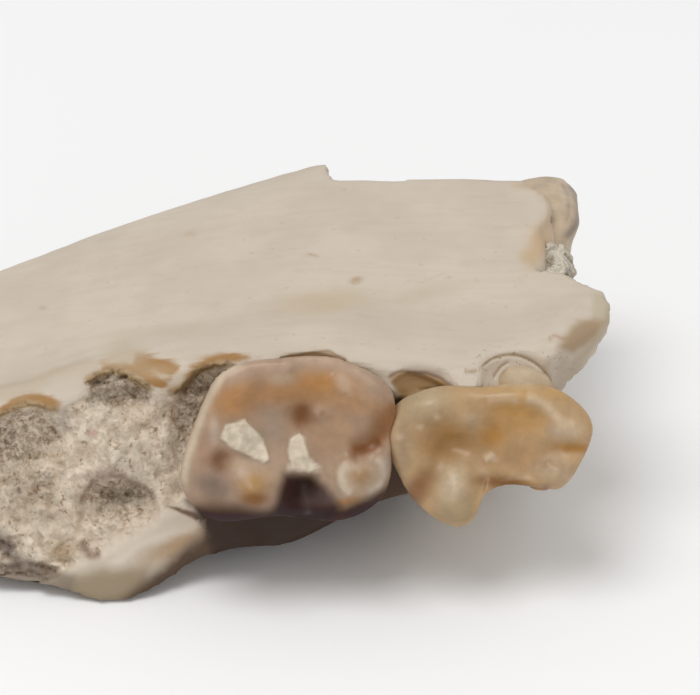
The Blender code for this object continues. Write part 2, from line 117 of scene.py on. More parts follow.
# The molar and the premolar. Points on a chewing face are along the jaw and across the face.
MOLAR = {
    "centre": (0.53, -1.45, 3.45),
    # Where a root shows in the rim of the bone: centre and half sizes
    "root_bulges": (),
    # Where the crown swells against its neighbour: middle and half sizes in pixels, and rise
    "contact": ((394, 415), (14, 30), 0.04),
    # The rim of the chewing face
    "outline": (
        (1.88, 0.6), (1.69, 1.09), (0.9, 1.45), (0.2, 1.51), (-0.6, 1.42), (-1.22, 1.17), (-1.6, 0.52),
        (-1.9, -0.35), (-1.9, -1.0), (-1.3, -1.5), (-0.2, -1.42), (0.9, -1.5), (1.6, -1.15), (1.83, -0.6),
        (1.8, 0.1),
    ),
    # Swellings and hollows of the chewing face: middle, half length, half width and height
    "relief": (
        (-0.65, -0.9, 0.42, 0.4, 0.42),
        (1.3, -0.62, 0.4, 0.38, 0.38),
        (0.25, -1.1, 0.3, 0.45, -0.5),
        (1.5, 0.0, 0.3, 0.3, -0.25),
        (0.2, 0.42, 0.28, 0.26, -0.18),
        (0.5, 0.52, 0.16, 0.16, 0.15),
        (1.45, 1.0, 0.4, 0.35, 0.2),
        (-1.0, 1.0, 0.45, 0.35, 0.15),
        (-1.15, 0.0, 0.35, 0.6, 0.12),
        (-1.25, -0.4, 0.2, 0.2, -0.1),
    ),
    # Ridges and grooves: points and half width in pixels, and height in millimetres
    "lines": (
        (((180, 490), (184, 465), (196, 430), (204, 405), (214, 385), (228, 369), (252, 361)), 4, 0.04),
        (((213, 440), (212, 415), (222, 385), (236, 374), (253, 367), (279, 366), (294, 372)), 6, 0.08),
        (((276, 366), (305, 359), (332, 361), (355, 371), (389, 391)), 5, 0.06),
        (((284, 468), (302, 471), (324, 469)), 5, 0.1),
        (((356, 456), (343, 466), (342, 482), (352, 494), (366, 495), (378, 485), (383, 469),
            (375, 457)), 6, 0.06),
        (((344, 452), (366, 446), (380, 434), (392, 416), (402, 404)), 10, -0.05),
        (((329, 374), (338, 384), (346, 394)), 5, 0.04),
    ),
    # Flat crusts of matrix on the chewing face: outline in pixels and thickness
    "crusts": (
        (((224, 425), (245, 418), (255, 427), (265, 440), (270, 460), (264, 464), (230, 448),
            (220, 438)), 0.07),
        (((289, 438), (300, 432), (307, 438), (310, 457), (322, 468), (314, 472), (289, 468),
            (287, 448)), 0.07),
    ),
    # The colour under the spots, lines and patches
    "base": (0.42, 0.3, 0.225),
    # Coloured spots: middle, half sizes, turn in degrees, colour and strength
    "spots": (
        ((289, 402), (80, 32), 0, (0.36, 0.22, 0.135), 0.85),
        ((235, 401), (24, 15), -20, (0.48, 0.245, 0.095), 0.85),
        ((262, 393), (26, 12), 0, (0.41, 0.23, 0.12), 0.6),
        ((320, 385), (32, 13), 0, (0.48, 0.24, 0.08), 0.9),
        ((350, 402), (36, 11), 15, (0.47, 0.27, 0.14), 0.7),
        # Painted highlights: pale spots where light catches the crown
        ((282, 379), (15, 7), 0, (0.46, 0.36, 0.27), 0.6),
        ((343, 383), (8, 12), -30, (0.54, 0.43, 0.35), 0.6),
        ((272, 428), (17, 22), 0, (0.35, 0.27, 0.215), 0.8),
        ((302, 416), (11, 14), 0, (0.2, 0.08, 0.025), 0.97),
        ((318, 413), (10, 7), 0, (0.45, 0.31, 0.24), 0.6),
        ((322, 413), (3, 3), 0, (0.3, 0.16, 0.09), 0.6),
        ((335, 438), (30, 25), 0, (0.41, 0.265, 0.175), 0.85),
        ((202, 440), (11, 34), -8, (0.4, 0.255, 0.18), 0.7),
        # Painted highlight on the left side of the crown
        ((214, 430), (5, 15), 0, (0.52, 0.42, 0.36), 0.7),
        ((222, 461), (13, 12), 0, (0.19, 0.07, 0.02), 0.95),
        ((215, 487), (20, 14), 20, (0.22, 0.165, 0.14), 0.85),
        ((247, 467), (24, 10), 10, (0.5, 0.375, 0.28), 0.8),
        ((253, 486), (15, 14), 0, (0.41, 0.25, 0.1), 0.85),
        ((254, 500), (15, 8), 0, (0.23, 0.095, 0.025), 0.9),
        ((226, 508), (36, 9), 10, (0.17, 0.105, 0.075), 0.8),
        ((361, 478), (28, 24), 0, (0.45, 0.34, 0.25), 0.75),
        ((361, 477), (10, 10), 0, (0.35, 0.225, 0.125), 0.9),
        ((285, 394), (34, 9), 0, (0.4, 0.215, 0.095), 0.7),
        ((386, 420), (15, 16), -30, (0.31, 0.16, 0.065), 0.8),
        ((346, 502), (16, 5), -10, (0.4, 0.2, 0.07), 0.8),
        ((386, 466), (6, 9), 20, (0.42, 0.36, 0.34), 0.6),
    ),
    # Coloured lines: points, half width, colour and strength
    "streaks": (
        # Painted highlight along the left crest
        (((184, 494), (186, 466), (197, 431), (206, 405), (216, 386), (229, 371), (252, 363)), 4.5,
            (0.6, 0.51, 0.41), 0.85),
        (((224, 384), (238, 375), (254, 368), (279, 367), (292, 372)), 5, (0.47, 0.34, 0.27), 0.7),
        (((276, 366), (305, 360), (332, 362), (355, 372), (389, 392)), 5, (0.5, 0.37, 0.29), 0.7),
        (((284, 468), (302, 471), (324, 469)), 4, (0.56, 0.48, 0.4), 0.8),
        (((349, 462), (342, 473), (343, 486), (353, 495)), 5.5, (0.6, 0.51, 0.42), 0.9),
        (((373, 456), (382, 463), (385, 474), (379, 486), (364, 495)), 4, (0.52, 0.445, 0.38), 0.85),
        (((355, 456), (364, 453), (375, 457)), 5.5, (0.62, 0.53, 0.43), 0.85),
        (((344, 452), (366, 447), (380, 434), (392, 416), (402, 404)), 11, (0.25, 0.11, 0.045), 0.9),
        (((352, 450), (366, 448), (382, 440)), 6, (0.19, 0.075, 0.025), 0.9),
        # Painted shade on the right lower wall and along the bottom edge of the crown
        (((395, 444), (397, 470), (388, 492), (370, 507), (340, 517)), 6, (0.1, 0.055, 0.03), 0.9),
        (((190, 508), (208, 520), (250, 525), (300, 526)), 6, (0.07, 0.035, 0.02), 0.95),
    ),
    # Coloured patches: outline, blur, colour and strength
    "patches": (
        # Painted shade in the hollow at the bottom, a painted mauve highlight inside it, then painted shadow
        # along the crown's bottom
        (((284, 474), (310, 475), (325, 487), (341, 507), (325, 528), (268, 528), (277, 497)), 7,
            (0.05, 0.027, 0.022), 0.97),
        (((304, 488), (324, 486), (340, 504), (322, 510), (304, 508)), 9, (0.14, 0.1, 0.1), 0.6),
        (((190, 506), (225, 508), (262, 510), (290, 506), (345, 507), (378, 492), (396, 486), (350, 535),
            (200, 535)), 7, (0.045, 0.022, 0.012), 0.95),
    ),
    # What all of the tooth's colours are multiplied by
    "gain": (0.95, 0.93, 0.86),
}
PREMOLAR = {
    "centre": (4.2, -1.35, 3.07),
    "root_bulges": (((4.76, 0.12, 3.62), (0.56, 0.4, 0.45)),),
    "contact": ((397, 438), (14, 34), 0.2),
    "outline": (
        (1.8, 0.5), (1.4, 1.06), (0.7, 1.33), (-0.2, 1.25), (-1.0, 1.26), (-1.6, 1.0), (-1.76, 0.45),
        (-1.6, -0.55), (-1.2, -1.08), (-0.72, -1.34), (-0.42, -1.28), (-0.27, -1.05), (-0.15, -0.75),
        (0.25, -0.57), (0.9, -0.62), (1.22, -0.63), (1.53, -0.27),
    ),
    "relief": (
        (-0.67, -0.6, 0.32, 0.55, 0.42),
        (-1.2, 1.0, 0.4, 0.35, 0.3),
        (0.5, 1.15, 0.8, 0.25, 0.2),
        (-0.75, 0.1, 0.35, 0.3, -0.25),
        (0.45, 0.6, 0.5, 0.3, -0.17),
        (-0.42, 0.7, 0.28, 0.24, 0.12),
        (1.3, 0.1, 0.35, 0.2, -0.12),
        (1.15, -0.35, 0.3, 0.22, 0.25),
        (0.2, -0.5, 0.3, 0.2, -0.2),
    ),
    "lines": (
        (((470, 408), (490, 401), (508, 397), (530, 398), (548, 409), (562, 422), (584, 426)), 10, 0.03),
        (((484, 461), (489, 457), (494, 453)), 3.5, 0.03),
        (((536, 399), (546, 404), (552, 412)), 3, 0.03),
        (((545, 462), (553, 468), (563, 470)), 3.5, 0.03),
    ),
    "crusts": (),
    "base": (0.47, 0.35, 0.22),
    "spots": (
        ((422, 402), (28, 18), -15, (0.46, 0.395, 0.295), 0.9),
        ((526, 391), (46, 8), 5, (0.52, 0.355, 0.165), 0.8),
        ((517, 417), (34, 17), 5, (0.62, 0.4, 0.17), 0.85),
        ((492, 436), (16, 14), 0, (0.42, 0.22, 0.045), 0.85),
        ((447, 441), (34, 21), -12, (0.38, 0.23, 0.095), 0.9),
        ((470, 423), (16, 11), 0, (0.45, 0.34, 0.225), 0.7),
        # Painted highlight on the small bump
        ((471, 417), (9, 5), 0, (0.56, 0.45, 0.34), 0.6),
        # Painted highlight on the right crest
        ((565, 430), (18, 9), 0, (0.56, 0.48, 0.39), 0.9),
        ((574, 448), (22, 5), 2, (0.36, 0.19, 0.05), 0.9),
        ((551, 467), (20, 14), 10, (0.47, 0.4, 0.32), 0.9),
        ((546, 488), (4, 4), 0, (0.3, 0.2, 0.17), 0.7),
        ((515, 456), (42, 14), 0, (0.44, 0.3, 0.175), 0.8),
        # Painted highlights
        ((491, 457), (7, 4), 30, (0.62, 0.52, 0.42), 0.7),
        ((482, 472), (5, 4), 0, (0.56, 0.45, 0.35), 0.6),
        ((506, 483), (30, 7), 6, (0.22, 0.11, 0.035), 0.95),
        # Painted highlight on the thumb-like cusp
        ((453, 486), (14, 24), 15, (0.56, 0.5, 0.41), 0.95),
        ((460, 512), (18, 12), 0, (0.4, 0.335, 0.22), 0.8),
        ((418, 488), (12, 26), 32, (0.26, 0.145, 0.075), 0.95),
        ((402, 450), (14, 28), 0, (0.44, 0.355, 0.265), 0.7),
        ((437, 417), (4, 3), 30, (0.62, 0.54, 0.44), 0.7),
        ((420, 427), (4, 3), 0, (0.6, 0.52, 0.43), 0.6),
        ((400, 437), (4, 4), 0, (0.6, 0.51, 0.42), 0.7),
        ((522, 372), (33, 15), 0, (0.56, 0.5, 0.41), 0.95),
    ),
    "streaks": (
        # Painted highlights along the crests and a short painted highlight
        (((486, 401), (504, 397), (520, 401)), 4, (0.58, 0.46, 0.33), 0.8),
        (((524, 397), (536, 400), (551, 411), (564, 424), (577, 424)), 6, (0.64, 0.54, 0.42), 0.9),
        (((484, 461), (489, 457), (494, 453)), 3, (0.66, 0.55, 0.42), 0.8),
        (((488, 377), (496, 366), (507, 359), (521, 357), (536, 362), (549, 375), (555, 388)), 2,
            (0.3, 0.2, 0.12), 0.8),
        (((494, 389), (499, 377), (508, 368)), 2, (0.4, 0.3, 0.2), 0.6),
    ),
    "patches": (),
    "gain": (0.93, 0.83, 0.7),
}

# Long edges of the bone, as in the solids: x, y, z
INNER_RIM = (
    (-6.9, -1.0, 2.9), (-4.75, -0.65, 3.45), (-2.55, -0.3, 3.95), (-0.4, -0.1, 4.25), (1.25, -0.1, 4.4),
)
OUTER_RIM = (
    (-6.9, -1.15, 0.6), (-4.75, -1.3, 0.35), (-3.65, -1.45, 0.2), (-2.55, -1.6, 0.0), (-1.85, -1.2, 0.3),
    (-1.1, -0.9, 0.57), (-0.4, -0.8, 0.7), (1.25, -0.6, 1.1),
)
SOCKET_FACE_HOLLOW = 0.1
# Empty root sockets: x and z of the middle, then half length, half width and depth
SOCKETS = {
    "front_inner": (-2.6, 3.52, 0.74, 0.54, 1.6),
    "front_outer": (-2.62, 1.85, 0.72, 0.5, 1.7),
    "rear": (-4.3, 2.55, 0.75, 0.95, 1.7),
}
FILLING_ANGLES = 220
FILLING_RINGS = 52
FILLING_BACK_RINGS = 16
FILLING_SPREAD = 0.03
FILLING_PROUD = 0.02
FILLING_OVER_RIM = 0.08
FILLING_BOWL = 0.8
# How far the bone under a filling reaches past it, and how deep it lies
MOUTH_SPREAD = 0.08
MOUTH_DEPTH = 0.02

# The lower edge of the inner face's lip, over the sockets, and the upper edge of the outer lip
INNER_LIP = (
    (-110, 446), (-60, 428), (-25, 426), (0, 414), (14, 407), (28, 402), (45, 406), (60, 411), (67, 402),
    (88, 394), (84, 382), (96, 375), (111, 370), (124, 373), (138, 380), (153, 389), (171, 391), (180, 387),
    (189, 377), (197, 370), (214, 363), (245, 362),
)
OUTER_LIP = (
    (245, 500), (189, 514), (171, 518), (155, 531), (133, 547), (107, 562), (75, 571), (45, 586), (0, 592),
    (-110, 600),
)
SOCKET_OUTLINE = INNER_LIP + OUTER_LIP
# The grainy socket face. In pixels: how far its edge strays, and the widths over which it starts,
# steps down under the inner lip and fades to the outer lip, at the left and at the right.
SOCKET_STRAY = 2.5
SOCKET_START = 4.0
LIP_SLOPE = 16.0
OUTER_FADES = (7.0, 26.0)
OUTER_FADE_PLACES = (40.0, 130.0)
# In millimetres: the x where it ends, the y that it stays under, the step and the sizes of its crumbs
SOCKET_END = (-0.3, -0.6)
SOCKET_BACK = 0.9
LIP_STEP = 0.22
CRUMB_SIZES = (0.32, 0.17, 0.09)
CRUMB_TWIST = 0.05
GRAIN_SIZE = 0.09
# Hollows in the socket face: middle, half sizes in pixels, depth in millimetres and share of soil
PITS = (
    ((18, 432), (46, 28), 0.42, 0.9),
    ((20, 482), (44, 34), 0.2, 0.5),
    ((118, 390), (36, 17), 0.32, 0.95),
    ((122, 490), (32, 12), 0.3, 0.75),
    ((118, 506), (40, 22), 0.32, 0.5),
    ((186, 425), (15, 50), 0.22, 0.75),
    ((206, 382), (28, 14), 0.3, 0.95),
    ((2, 548), (16, 10), 0.25, 0.9),
    ((30, 572), (45, 10), 0.12, 0.6),
    ((184, 512), (14, 4), 0.15, 0.8),
    ((-60, 500), (40, 60), 0.3, 0.5),
)
# Ochre rolls over the inner lip: points, half width in pixels and strength
LIP_TANS = (
    (((-60, 430), (-20, 422), (4, 411), (26, 401), (48, 405), (66, 413)), 7, 1.5),
    (((94, 370), (118, 366), (138, 371), (152, 380), (172, 390)), 6, 1.1),
    (((164, 391), (184, 384), (196, 370), (226, 360), (264, 356)), 7, 0.8),
    (((130, 362), (158, 364), (178, 374)), 8, 1.0),
)
# The brown shade under them: points and half width
LIP_SHADES = (
    (((-60, 430), (-25, 427), (0, 415), (14, 408), (28, 403), (45, 407), (64, 413)), 4),
    (((80, 385), (96, 376), (111, 371), (124, 374), (138, 381), (158, 393)), 5),
    (((162, 393), (180, 389), (190, 379), (198, 372), (214, 365), (240, 362)), 4.5),
)
LIP_SHADE_STRENGTH = 0.9
# Colours laid over the bone and the incisor, in the same kinds of tables as on the teeth
BONE_LOOK = {
    "spots": (
        ((322, 303), (46, 13), -6, (0.51, 0.4, 0.27), 0.75),
        ((425, 294), (45, 8), -12, (0.5, 0.42, 0.31), 0.5),
        ((170, 331), (60, 7), -4, (0.5, 0.42, 0.31), 0.5),
        ((125, 350), (22, 12), 0, (0.5, 0.41, 0.29), 0.6),
        ((150, 370), (34, 9), 10, (0.42, 0.3, 0.175), 0.6),
        ((190, 235), (7, 3), -20, (0.5, 0.4, 0.29), 0.7),
        ((42, 308), (5, 2), 0, (0.45, 0.35, 0.24), 0.7),
        ((356, 281), (7, 3), -8, (0.42, 0.3, 0.19), 0.9),
        ((312, 255), (8, 2), 10, (0.5, 0.4, 0.3), 0.6),
        ((541, 242), (13, 26), 28, (0.54, 0.385, 0.235), 0.95),
        ((530, 256), (10, 9), 0, (0.5, 0.38, 0.23), 0.8),
        ((93, 433), (7, 4), 20, (0.5, 0.31, 0.24), 0.8),
        ((20, 490), (3, 3), 0, (0.1, 0.05, 0.04), 0.9),
        ((110, 470), (38, 5), -12, (0.4, 0.29, 0.23), 0.6),
        ((33, 455), (12, 6), 0, (0.42, 0.34, 0.2), 0.5),
        ((115, 472), (30, 8), -30, (0.45, 0.34, 0.28), 0.5),
        ((130, 455), (30, 22), 0, (0.64, 0.56, 0.45), 0.6),
        ((110, 535), (35, 12), -20, (0.64, 0.55, 0.45), 0.6),
        ((62, 551), (16, 12), 0, (0.36, 0.25, 0.14), 0.85),
        ((30, 505), (50, 34), 0, (0.44, 0.355, 0.265), 0.55),
        ((112, 392), (26, 14), 0, (0.26, 0.2, 0.145), 0.55),
        ((115, 500), (28, 15), 0, (0.33, 0.265, 0.19), 0.5),
        ((178, 543), (40, 12), -28, (0.38, 0.25, 0.14), 0.9),
        ((60, 418), (8, 18), 0, (0.5, 0.42, 0.36), 0.6),
    ),
    "streaks": (
        (((506, 184), (533, 187), (551, 203), (551, 216), (540, 233)), 3.5, (0.52, 0.4, 0.27), 0.8),
        (((607, 296), (610, 310), (603, 330), (580, 360), (566, 384)), 5, (0.45, 0.36, 0.24), 0.7),
        # Painted highlight along the crest of the outer lip
        (((107, 566), (150, 540), (205, 524)), 5, (0.66, 0.58, 0.48), 0.7),
        (((79, 538), (84, 549), (92, 556), (103, 553)), 5, (0.25, 0.16, 0.11), 0.8),
        (((384, 382), (392, 388), (399, 395)), 3, (0.6, 0.5, 0.4), 0.8),
        (((-40, 520), (-6, 536), (8, 548), (18, 562), (40, 568)), 8, (0.21, 0.165, 0.145), 0.8),
        (((-20, 392), (10, 386), (40, 378), (72, 364), (98, 358)), 3, (0.42, 0.32, 0.22), 0.4),
        (((-20, 402), (20, 391), (60, 373), (110, 362), (150, 352)), 7, (0.5, 0.4, 0.28), 0.45),
        (((549, 342), (556, 336), (562, 339), (568, 336)), 2, (0.4, 0.25, 0.16), 0.7),
        (((386, 380), (397, 375), (409, 371), (424, 373), (440, 380), (456, 391)), 2.5,
            (0.19, 0.1, 0.045), 0.8),
        (((272, 361), (288, 356), (306, 353), (324, 352), (340, 357), (350, 366)), 1.8,
            (0.24, 0.14, 0.06), 0.8),
        # Painted shadow under the rim of the lower pit
        (((80, 512), (84, 492), (98, 478), (116, 476), (136, 484), (150, 492), (156, 510)), 4,
            (0.26, 0.18, 0.13), 0.7),
    ),
    "patches": (
        (((168, 507), (182, 509), (196, 514), (208, 526), (196, 522), (182, 515)), 2,
            (0.14, 0.08, 0.045), 0.95),
        (((60, 580), (95, 570), (150, 566), (150, 600), (125, 612), (60, 606)), 9,
            (0.27, 0.205, 0.125), 0.9),
        (((-90, 560), (-20, 560), (40, 562), (75, 577), (75, 600), (-90, 600)), 5,
            (0.23, 0.18, 0.135), 0.85),
        # Painted shadow on the underside of the outer wall
        (((218, 522), (200, 536), (178, 553), (156, 572), (124, 598), (124, 620), (228, 585)), 8,
            (0.075, 0.04, 0.02), 0.97),
        (((594, 292), (616, 300), (606, 326), (592, 318)), 3, (0.47, 0.4, 0.28), 0.7),
        # Painted shade on the diastema's curve, which turns away from the light, and on the bone below it
        (((579, 321), (592, 318), (606, 323), (592, 340), (574, 354), (557, 350), (566, 334)), 5,
            (0.35, 0.24, 0.135), 0.9),
        (((606, 330), (572, 358), (558, 354), (556, 392), (570, 392)), 5, (0.4, 0.33, 0.25), 0.6),
        # Painted shadow on the bone under the molar
        (((186, 500), (300, 480), (350, 470), (388, 440), (412, 480), (345, 545), (216, 575),
            (204, 530)), 6, (0.04, 0.02, 0.011), 1.0),
    ),
}
INCISOR_LOOK = {
    "base": (0.51, 0.405, 0.295),
    "spots": (
        ((560, 200), (10, 30), 0, (0.56, 0.45, 0.32), 0.7),
        ((568, 190), (5, 12), -15, (0.64, 0.54, 0.43), 0.6),
        ((545, 178), (26, 4), 0, (0.47, 0.38, 0.27), 0.7),
    ),
    "streaks": (
        (((572, 182), (579, 196), (580, 212), (575, 228), (569, 240)), 4.5, (0.24, 0.19, 0.155), 0.85),
        (((566, 180), (569, 200), (566, 225)), 2, (0.33, 0.26, 0.2), 0.6),
    ),
    "patches": (),
}
# Broken shelves of bone beside the notch: centre and half sizes
NOTCH_SHELVES = (
    ((5.03, 3.85, 4.08), (0.34, 0.88, 0.4)),
    ((5.18, 4.65, 4.0), (0.34, 0.5, 0.38)),
)
# Brown hollows in the bone beside the teeth: outline in pixels, depth, colour and strength
GAPS = (
    (((274, 361), (289, 355), (314, 352), (332, 355), (346, 362), (330, 361), (305, 358)), 0.08,
        (0.42, 0.28, 0.15), 0.9),
    (((391, 381), (398, 376), (407, 372), (420, 374), (434, 379), (444, 383), (456, 392), (440, 392),
        (420, 394), (404, 402), (399, 396)), 0.16, (0.5, 0.33, 0.16), 0.95),
    (((466, 386), (482, 385), (482, 391), (466, 392)), 0.1, (0.36, 0.23, 0.14), 0.8),
    # Painted shade in the gap between the two teeth
    (((386, 398), (404, 396), (410, 500), (372, 510)), 0.1, (0.07, 0.036, 0.016), 0.95),
)
GAP_BLUR = 2.0
# The part of the picture that holds those hollows, and how high up the bone they are
GAP_REGION = (
    (262, 345), (360, 345), (380, 366), (470, 366), (500, 348), (530, 348), (565, 392), (262, 392),
)
GAP_FLOOR = 3.3
# Edges that reach further: middle and half sizes in pixels, and the move in millimetres
PUSHES = (
    ((548, 208), (14, 20), (0.12, 0.0, 0.0)),
    ((160, 578), (34, 20), (0.0, -0.1, -0.07)),
    ((472, 384), (34, 7), (0.0, -0.12, -0.02)),
    ((390, 387), (14, 9), (0.0, -0.1, 0.0)),
)
# Dark brown lines: points, half width in pixels and strength, and how deep the strongest is
DARK_LINES = (
    (((478, 371), (492, 359), (509, 355), (525, 358), (541, 368), (553, 384)), 1.8, 0.6),
    (((493, 379), (500, 368), (510, 361)), 1.4, 0.5),
    (((464, 372), (478, 371)), 2.5, 0.5),
    (((350, 283), (356, 284), (362, 281)), 1.2, 0.4),
    (((400, 284), (412, 281), (424, 282), (436, 276), (450, 272)), 1.0, 0.25),
    (((306, 253), (320, 257)), 1.0, 0.4),
)
DARK_LINE_DEPTH = 0.06

# In pixels: how far round the socket face and the hollows the bone is finely cut or left alone
GRAINY_MARGIN = 12
PLAIN_MARGIN = 18
GAP_MARGIN = 6
# Left of the picture the bone gets coarser: smooth faces stay uncut, no face is cut finely, and grainy
# faces are cut as smooth ones
PICTURE_LEFT = -6
GRAINY_LEFT = -10
PLAIN_LEFT = -8
# Unevenness of the bone, in millimetres
FACE_WAVES = 0.02
FAR_WAVES = 0.04
BREAK_LUMPS = 0.12
BREAK_PITS = 0.1
# Where pores show: middle and half sizes in pixels
PORES = ((520, 362), (60, 14))
# The bone's painted colours are laid over this one, and their edges stray this many pixels
CREAM = np.array((0.58, 0.5, 0.4))
DRIFT = 2.2

# The broken tip of the incisor: where it starts and is whole along x, and how far it is cut back
# below and above, between heights in the picture
TIP_REACH = (4.9, 5.6)
TIP_CUTS = ((0.14, 222, 250), (0.1, 196, 180))
INCISOR_WAVES = 0.02
INCISOR_DULL = 0.3
# The lump in the notch: how far it comes forward and sinks, between places across the picture
LUMP_FORWARD = (0.14, 545, 562)
LUMP_SINK = (0.35, 552, 538)
LUMP_CELL = 0.24

# Colours in the materials: one, or two that noise blends
BONE_CREAMS = ((0.555, 0.475, 0.385), (0.6, 0.52, 0.425))
STREAK_TAN = (0.5, 0.42, 0.325)
FLECK_TAN = (0.47, 0.37, 0.25)
LIP_OCHRE = (0.34, 0.18, 0.06)
GRAINY_CREAMS = ((0.66, 0.545, 0.42), (0.82, 0.71, 0.57))
SOIL_GREYS = ((0.44, 0.345, 0.255), (0.76, 0.655, 0.52))
PORE_BROWN = (0.33, 0.24, 0.15)
LINE_BROWNS = ((0.2, 0.12, 0.055), (0.38, 0.265, 0.14))
LUMP_GREYS = ((0.27, 0.23, 0.17), (0.42, 0.36, 0.28))
LUMP_LIGHT = (0.62, 0.56, 0.46)
# Tones that the colour under them is multiplied by: painted shade in crevices and where the grain bump is
# low, then pale crumb
CREVICE_SHADE_TONE = (0.54, 0.43, 0.33)
POCK_SHADE_TONE = (0.5, 0.39, 0.3)
CRUMB_TONE = (1.22, 1.2, 1.17)

NOISE_LATTICE = 256
NOISE_SCALE = 1.6
OCTAVE_SHIFT = 7.3
STROKE_PARTS = 4
STROKE_FADE = 0.12


# Noise, worked out for all points at once
def noise_tables():
    draw = np.random.default_rng(4)
    order = draw.permutation(NOISE_LATTICE)
    slopes = draw.normal(size=(NOISE_LATTICE, 3))
    slopes /= np.linalg.norm(slopes, axis=1)[:, None]
    return order, slopes, draw.random((NOISE_LATTICE, 3))


NOISE_ORDER, NOISE_SLOPES, CELL_PLACES = noise_tables()


def lattice_key(cells):
    key = NOISE_ORDER[cells[:, 0] % NOISE_LATTICE]
    key = NOISE_ORDER[(key + cells[:, 1]) % NOISE_LATTICE]
    return NOISE_ORDER[(key + cells[:, 2]) % NOISE_LATTICE]


def wave(points, size, shift=0.0):
    """Smooth noise between about -1 and 1, with lumps of the given size."""
    places = points / size + shift
    base = np.floor(places).astype(int)
    away = places - base
    ease = away**3 * (away * (away * 6 - 15) + 10)
    total = np.zeros(len(points))
    for corner in product((0, 1), repeat=3):
        slope = NOISE_SLOPES[lattice_key(base + corner)]
        weight = np.prod(np.where(corner, ease, 1 - ease), axis=1)
        total += weight * np.sum(slope * (away - corner), axis=1)
    return total * NOISE_SCALE


def rough(points, size, octaves=3, shift=0.0):
    """Noise with finer noise on top, halved in size and height each time."""
    total = np.zeros(len(points))
    for i in range(octaves):
        total += wave(points, size / 2**i, shift + i * OCTAVE_SHIFT) / 2**i
    return total


def strayed(places, points, size, octaves, shifts, reach):
    """Places moved about by noise of the points, with one shift of the noise for each direction."""
    return places + np.column_stack([rough(points, size, octaves, shift) for shift in shifts]) * reach


def cells(points, size, shift=0.0):
    """Distance to the nearest of many scattered places, in units of size, and a number of that place."""
    places = points / size + shift
    base = np.floor(places).astype(int)
    nearest = np.full(len(points), np.inf)
    label = np.zeros(len(points))
    for corner in product((-1, 0, 1), repeat=3):
        cell = base + corner
        key = lattice_key(cell)
        reach = np.linalg.norm(cell + CELL_PLACES[key] - places, axis=1)
        label = np.where(reach < nearest, key / NOISE_LATTICE, label)
        nearest = np.minimum(nearest, reach)
    return nearest, label


def grains(points, size, shift=0.0):
    """Rounded grains of the given size, from 0 between them to 1 on top."""
    nearest, label = cells(points, size, shift)
    return np.clip(1 - nearest**2 / 0.6, 0, 1) * (0.4 + 0.6 * label)


# Curves, outlines and shares
def smooth(knots, values, at):
    """A smooth curve through values at the knots, read at the places in at."""
    knots = np.asarray(knots, dtype=float)
    values = np.asarray(values, dtype=float)
    slopes = np.gradient(values, knots, axis=0)
    before = np.clip(np.searchsorted(knots, at, side="right") - 1, 0, len(knots) - 2)
    gap = (knots[before + 1] - knots[before])[:, None]
    t = (np.asarray(at) - knots[before])[:, None] / gap
    start = (1 + 2 * t) * (1 - t) ** 2 * values[before] + t * (1 - t) ** 2 * gap * slopes[before]
    end = t * t * (3 - 2 * t) * values[before + 1] + t * t * (t - 1) * gap * slopes[before + 1]
    return start + end


def step(low, high, values):
    """A share that eases from 0 at low to 1 at high."""
    t = np.clip((values - low) / (high - low), 0, 1)
    return t * t * (3 - 2 * t)


def mix(a, b, share):
    return a + (b - a) * share


def blob(points, centre, half_sizes):
    """A soft spot: 1 at the centre and near 0 beyond about twice the half sizes."""
    away = (points - np.asarray(centre)) / np.asarray(half_sizes)
    return np.exp(-np.sum(away**2, axis=1))


def along_line(points, line):
    """How far each point is from a line of straight runs, and at what share of the line."""
    line = np.asarray(line, dtype=float)
    nearest = np.full(len(points), np.inf)
    place = np.zeros(len(points))
    for i, (start, end) in enumerate(zip(line, line[1:])):
        run = end - start
        share = np.clip((points - start) @ run / (run @ run), 0, 1)
        away = np.linalg.norm(points - start - share[:, None] * run, axis=1)
        place = np.where(away < nearest, (i + share) / (len(line) - 1), place)
        nearest = np.minimum(nearest, away)
    return nearest, place


def stroke(points, line, half_width):
    """A soft line through the places in line, which fades at both ends."""
    runs = len(line) - 1
    drawn = smooth(np.arange(len(line)), line, np.linspace(0, runs, STROKE_PARTS * runs + 1))
    away, place = along_line(points, drawn)
    return np.exp(-((away / half_width) ** 2)) * step(0.0, STROKE_FADE, np.minimum(place, 1 - place))


def within(places, outline):
    """Which places lie inside a closed outline."""
    inside = np.zeros(len(places), bool)
    corners = np.asarray(outline, dtype=float)
    for (x1, y1), (x2, y2) in zip(corners, np.roll(corners, -1, axis=0)):
        if y1 != y2:
            crosses = (places[:, 1] < y1) != (places[:, 1] < y2)
            inside ^= crosses & (places[:, 0] < x1 + (places[:, 1] - y1) * (x2 - x1) / (y2 - y1))
    return inside


def depth_inside(places, outline):
    """How far inside a closed outline each place lies, and below 0 outside it."""
    away = along_line(places, tuple(outline) + (outline[0],))[0]
    return np.where(within(places, outline), away, -away)


# What the camera sees
def toward_camera():
    return np.array((0.0, -math.cos(CAMERA_RISE), math.sin(CAMERA_RISE)))


def facing_camera(normals):
    """1 where a surface faces the camera straight on, down to -1 where it faces straight away."""
    return normals @ toward_camera()


def in_view(normals):
    """Where a surface faces the camera, fading where it turns away."""
    return step(-0.3, 0.05, facing_camera(normals))


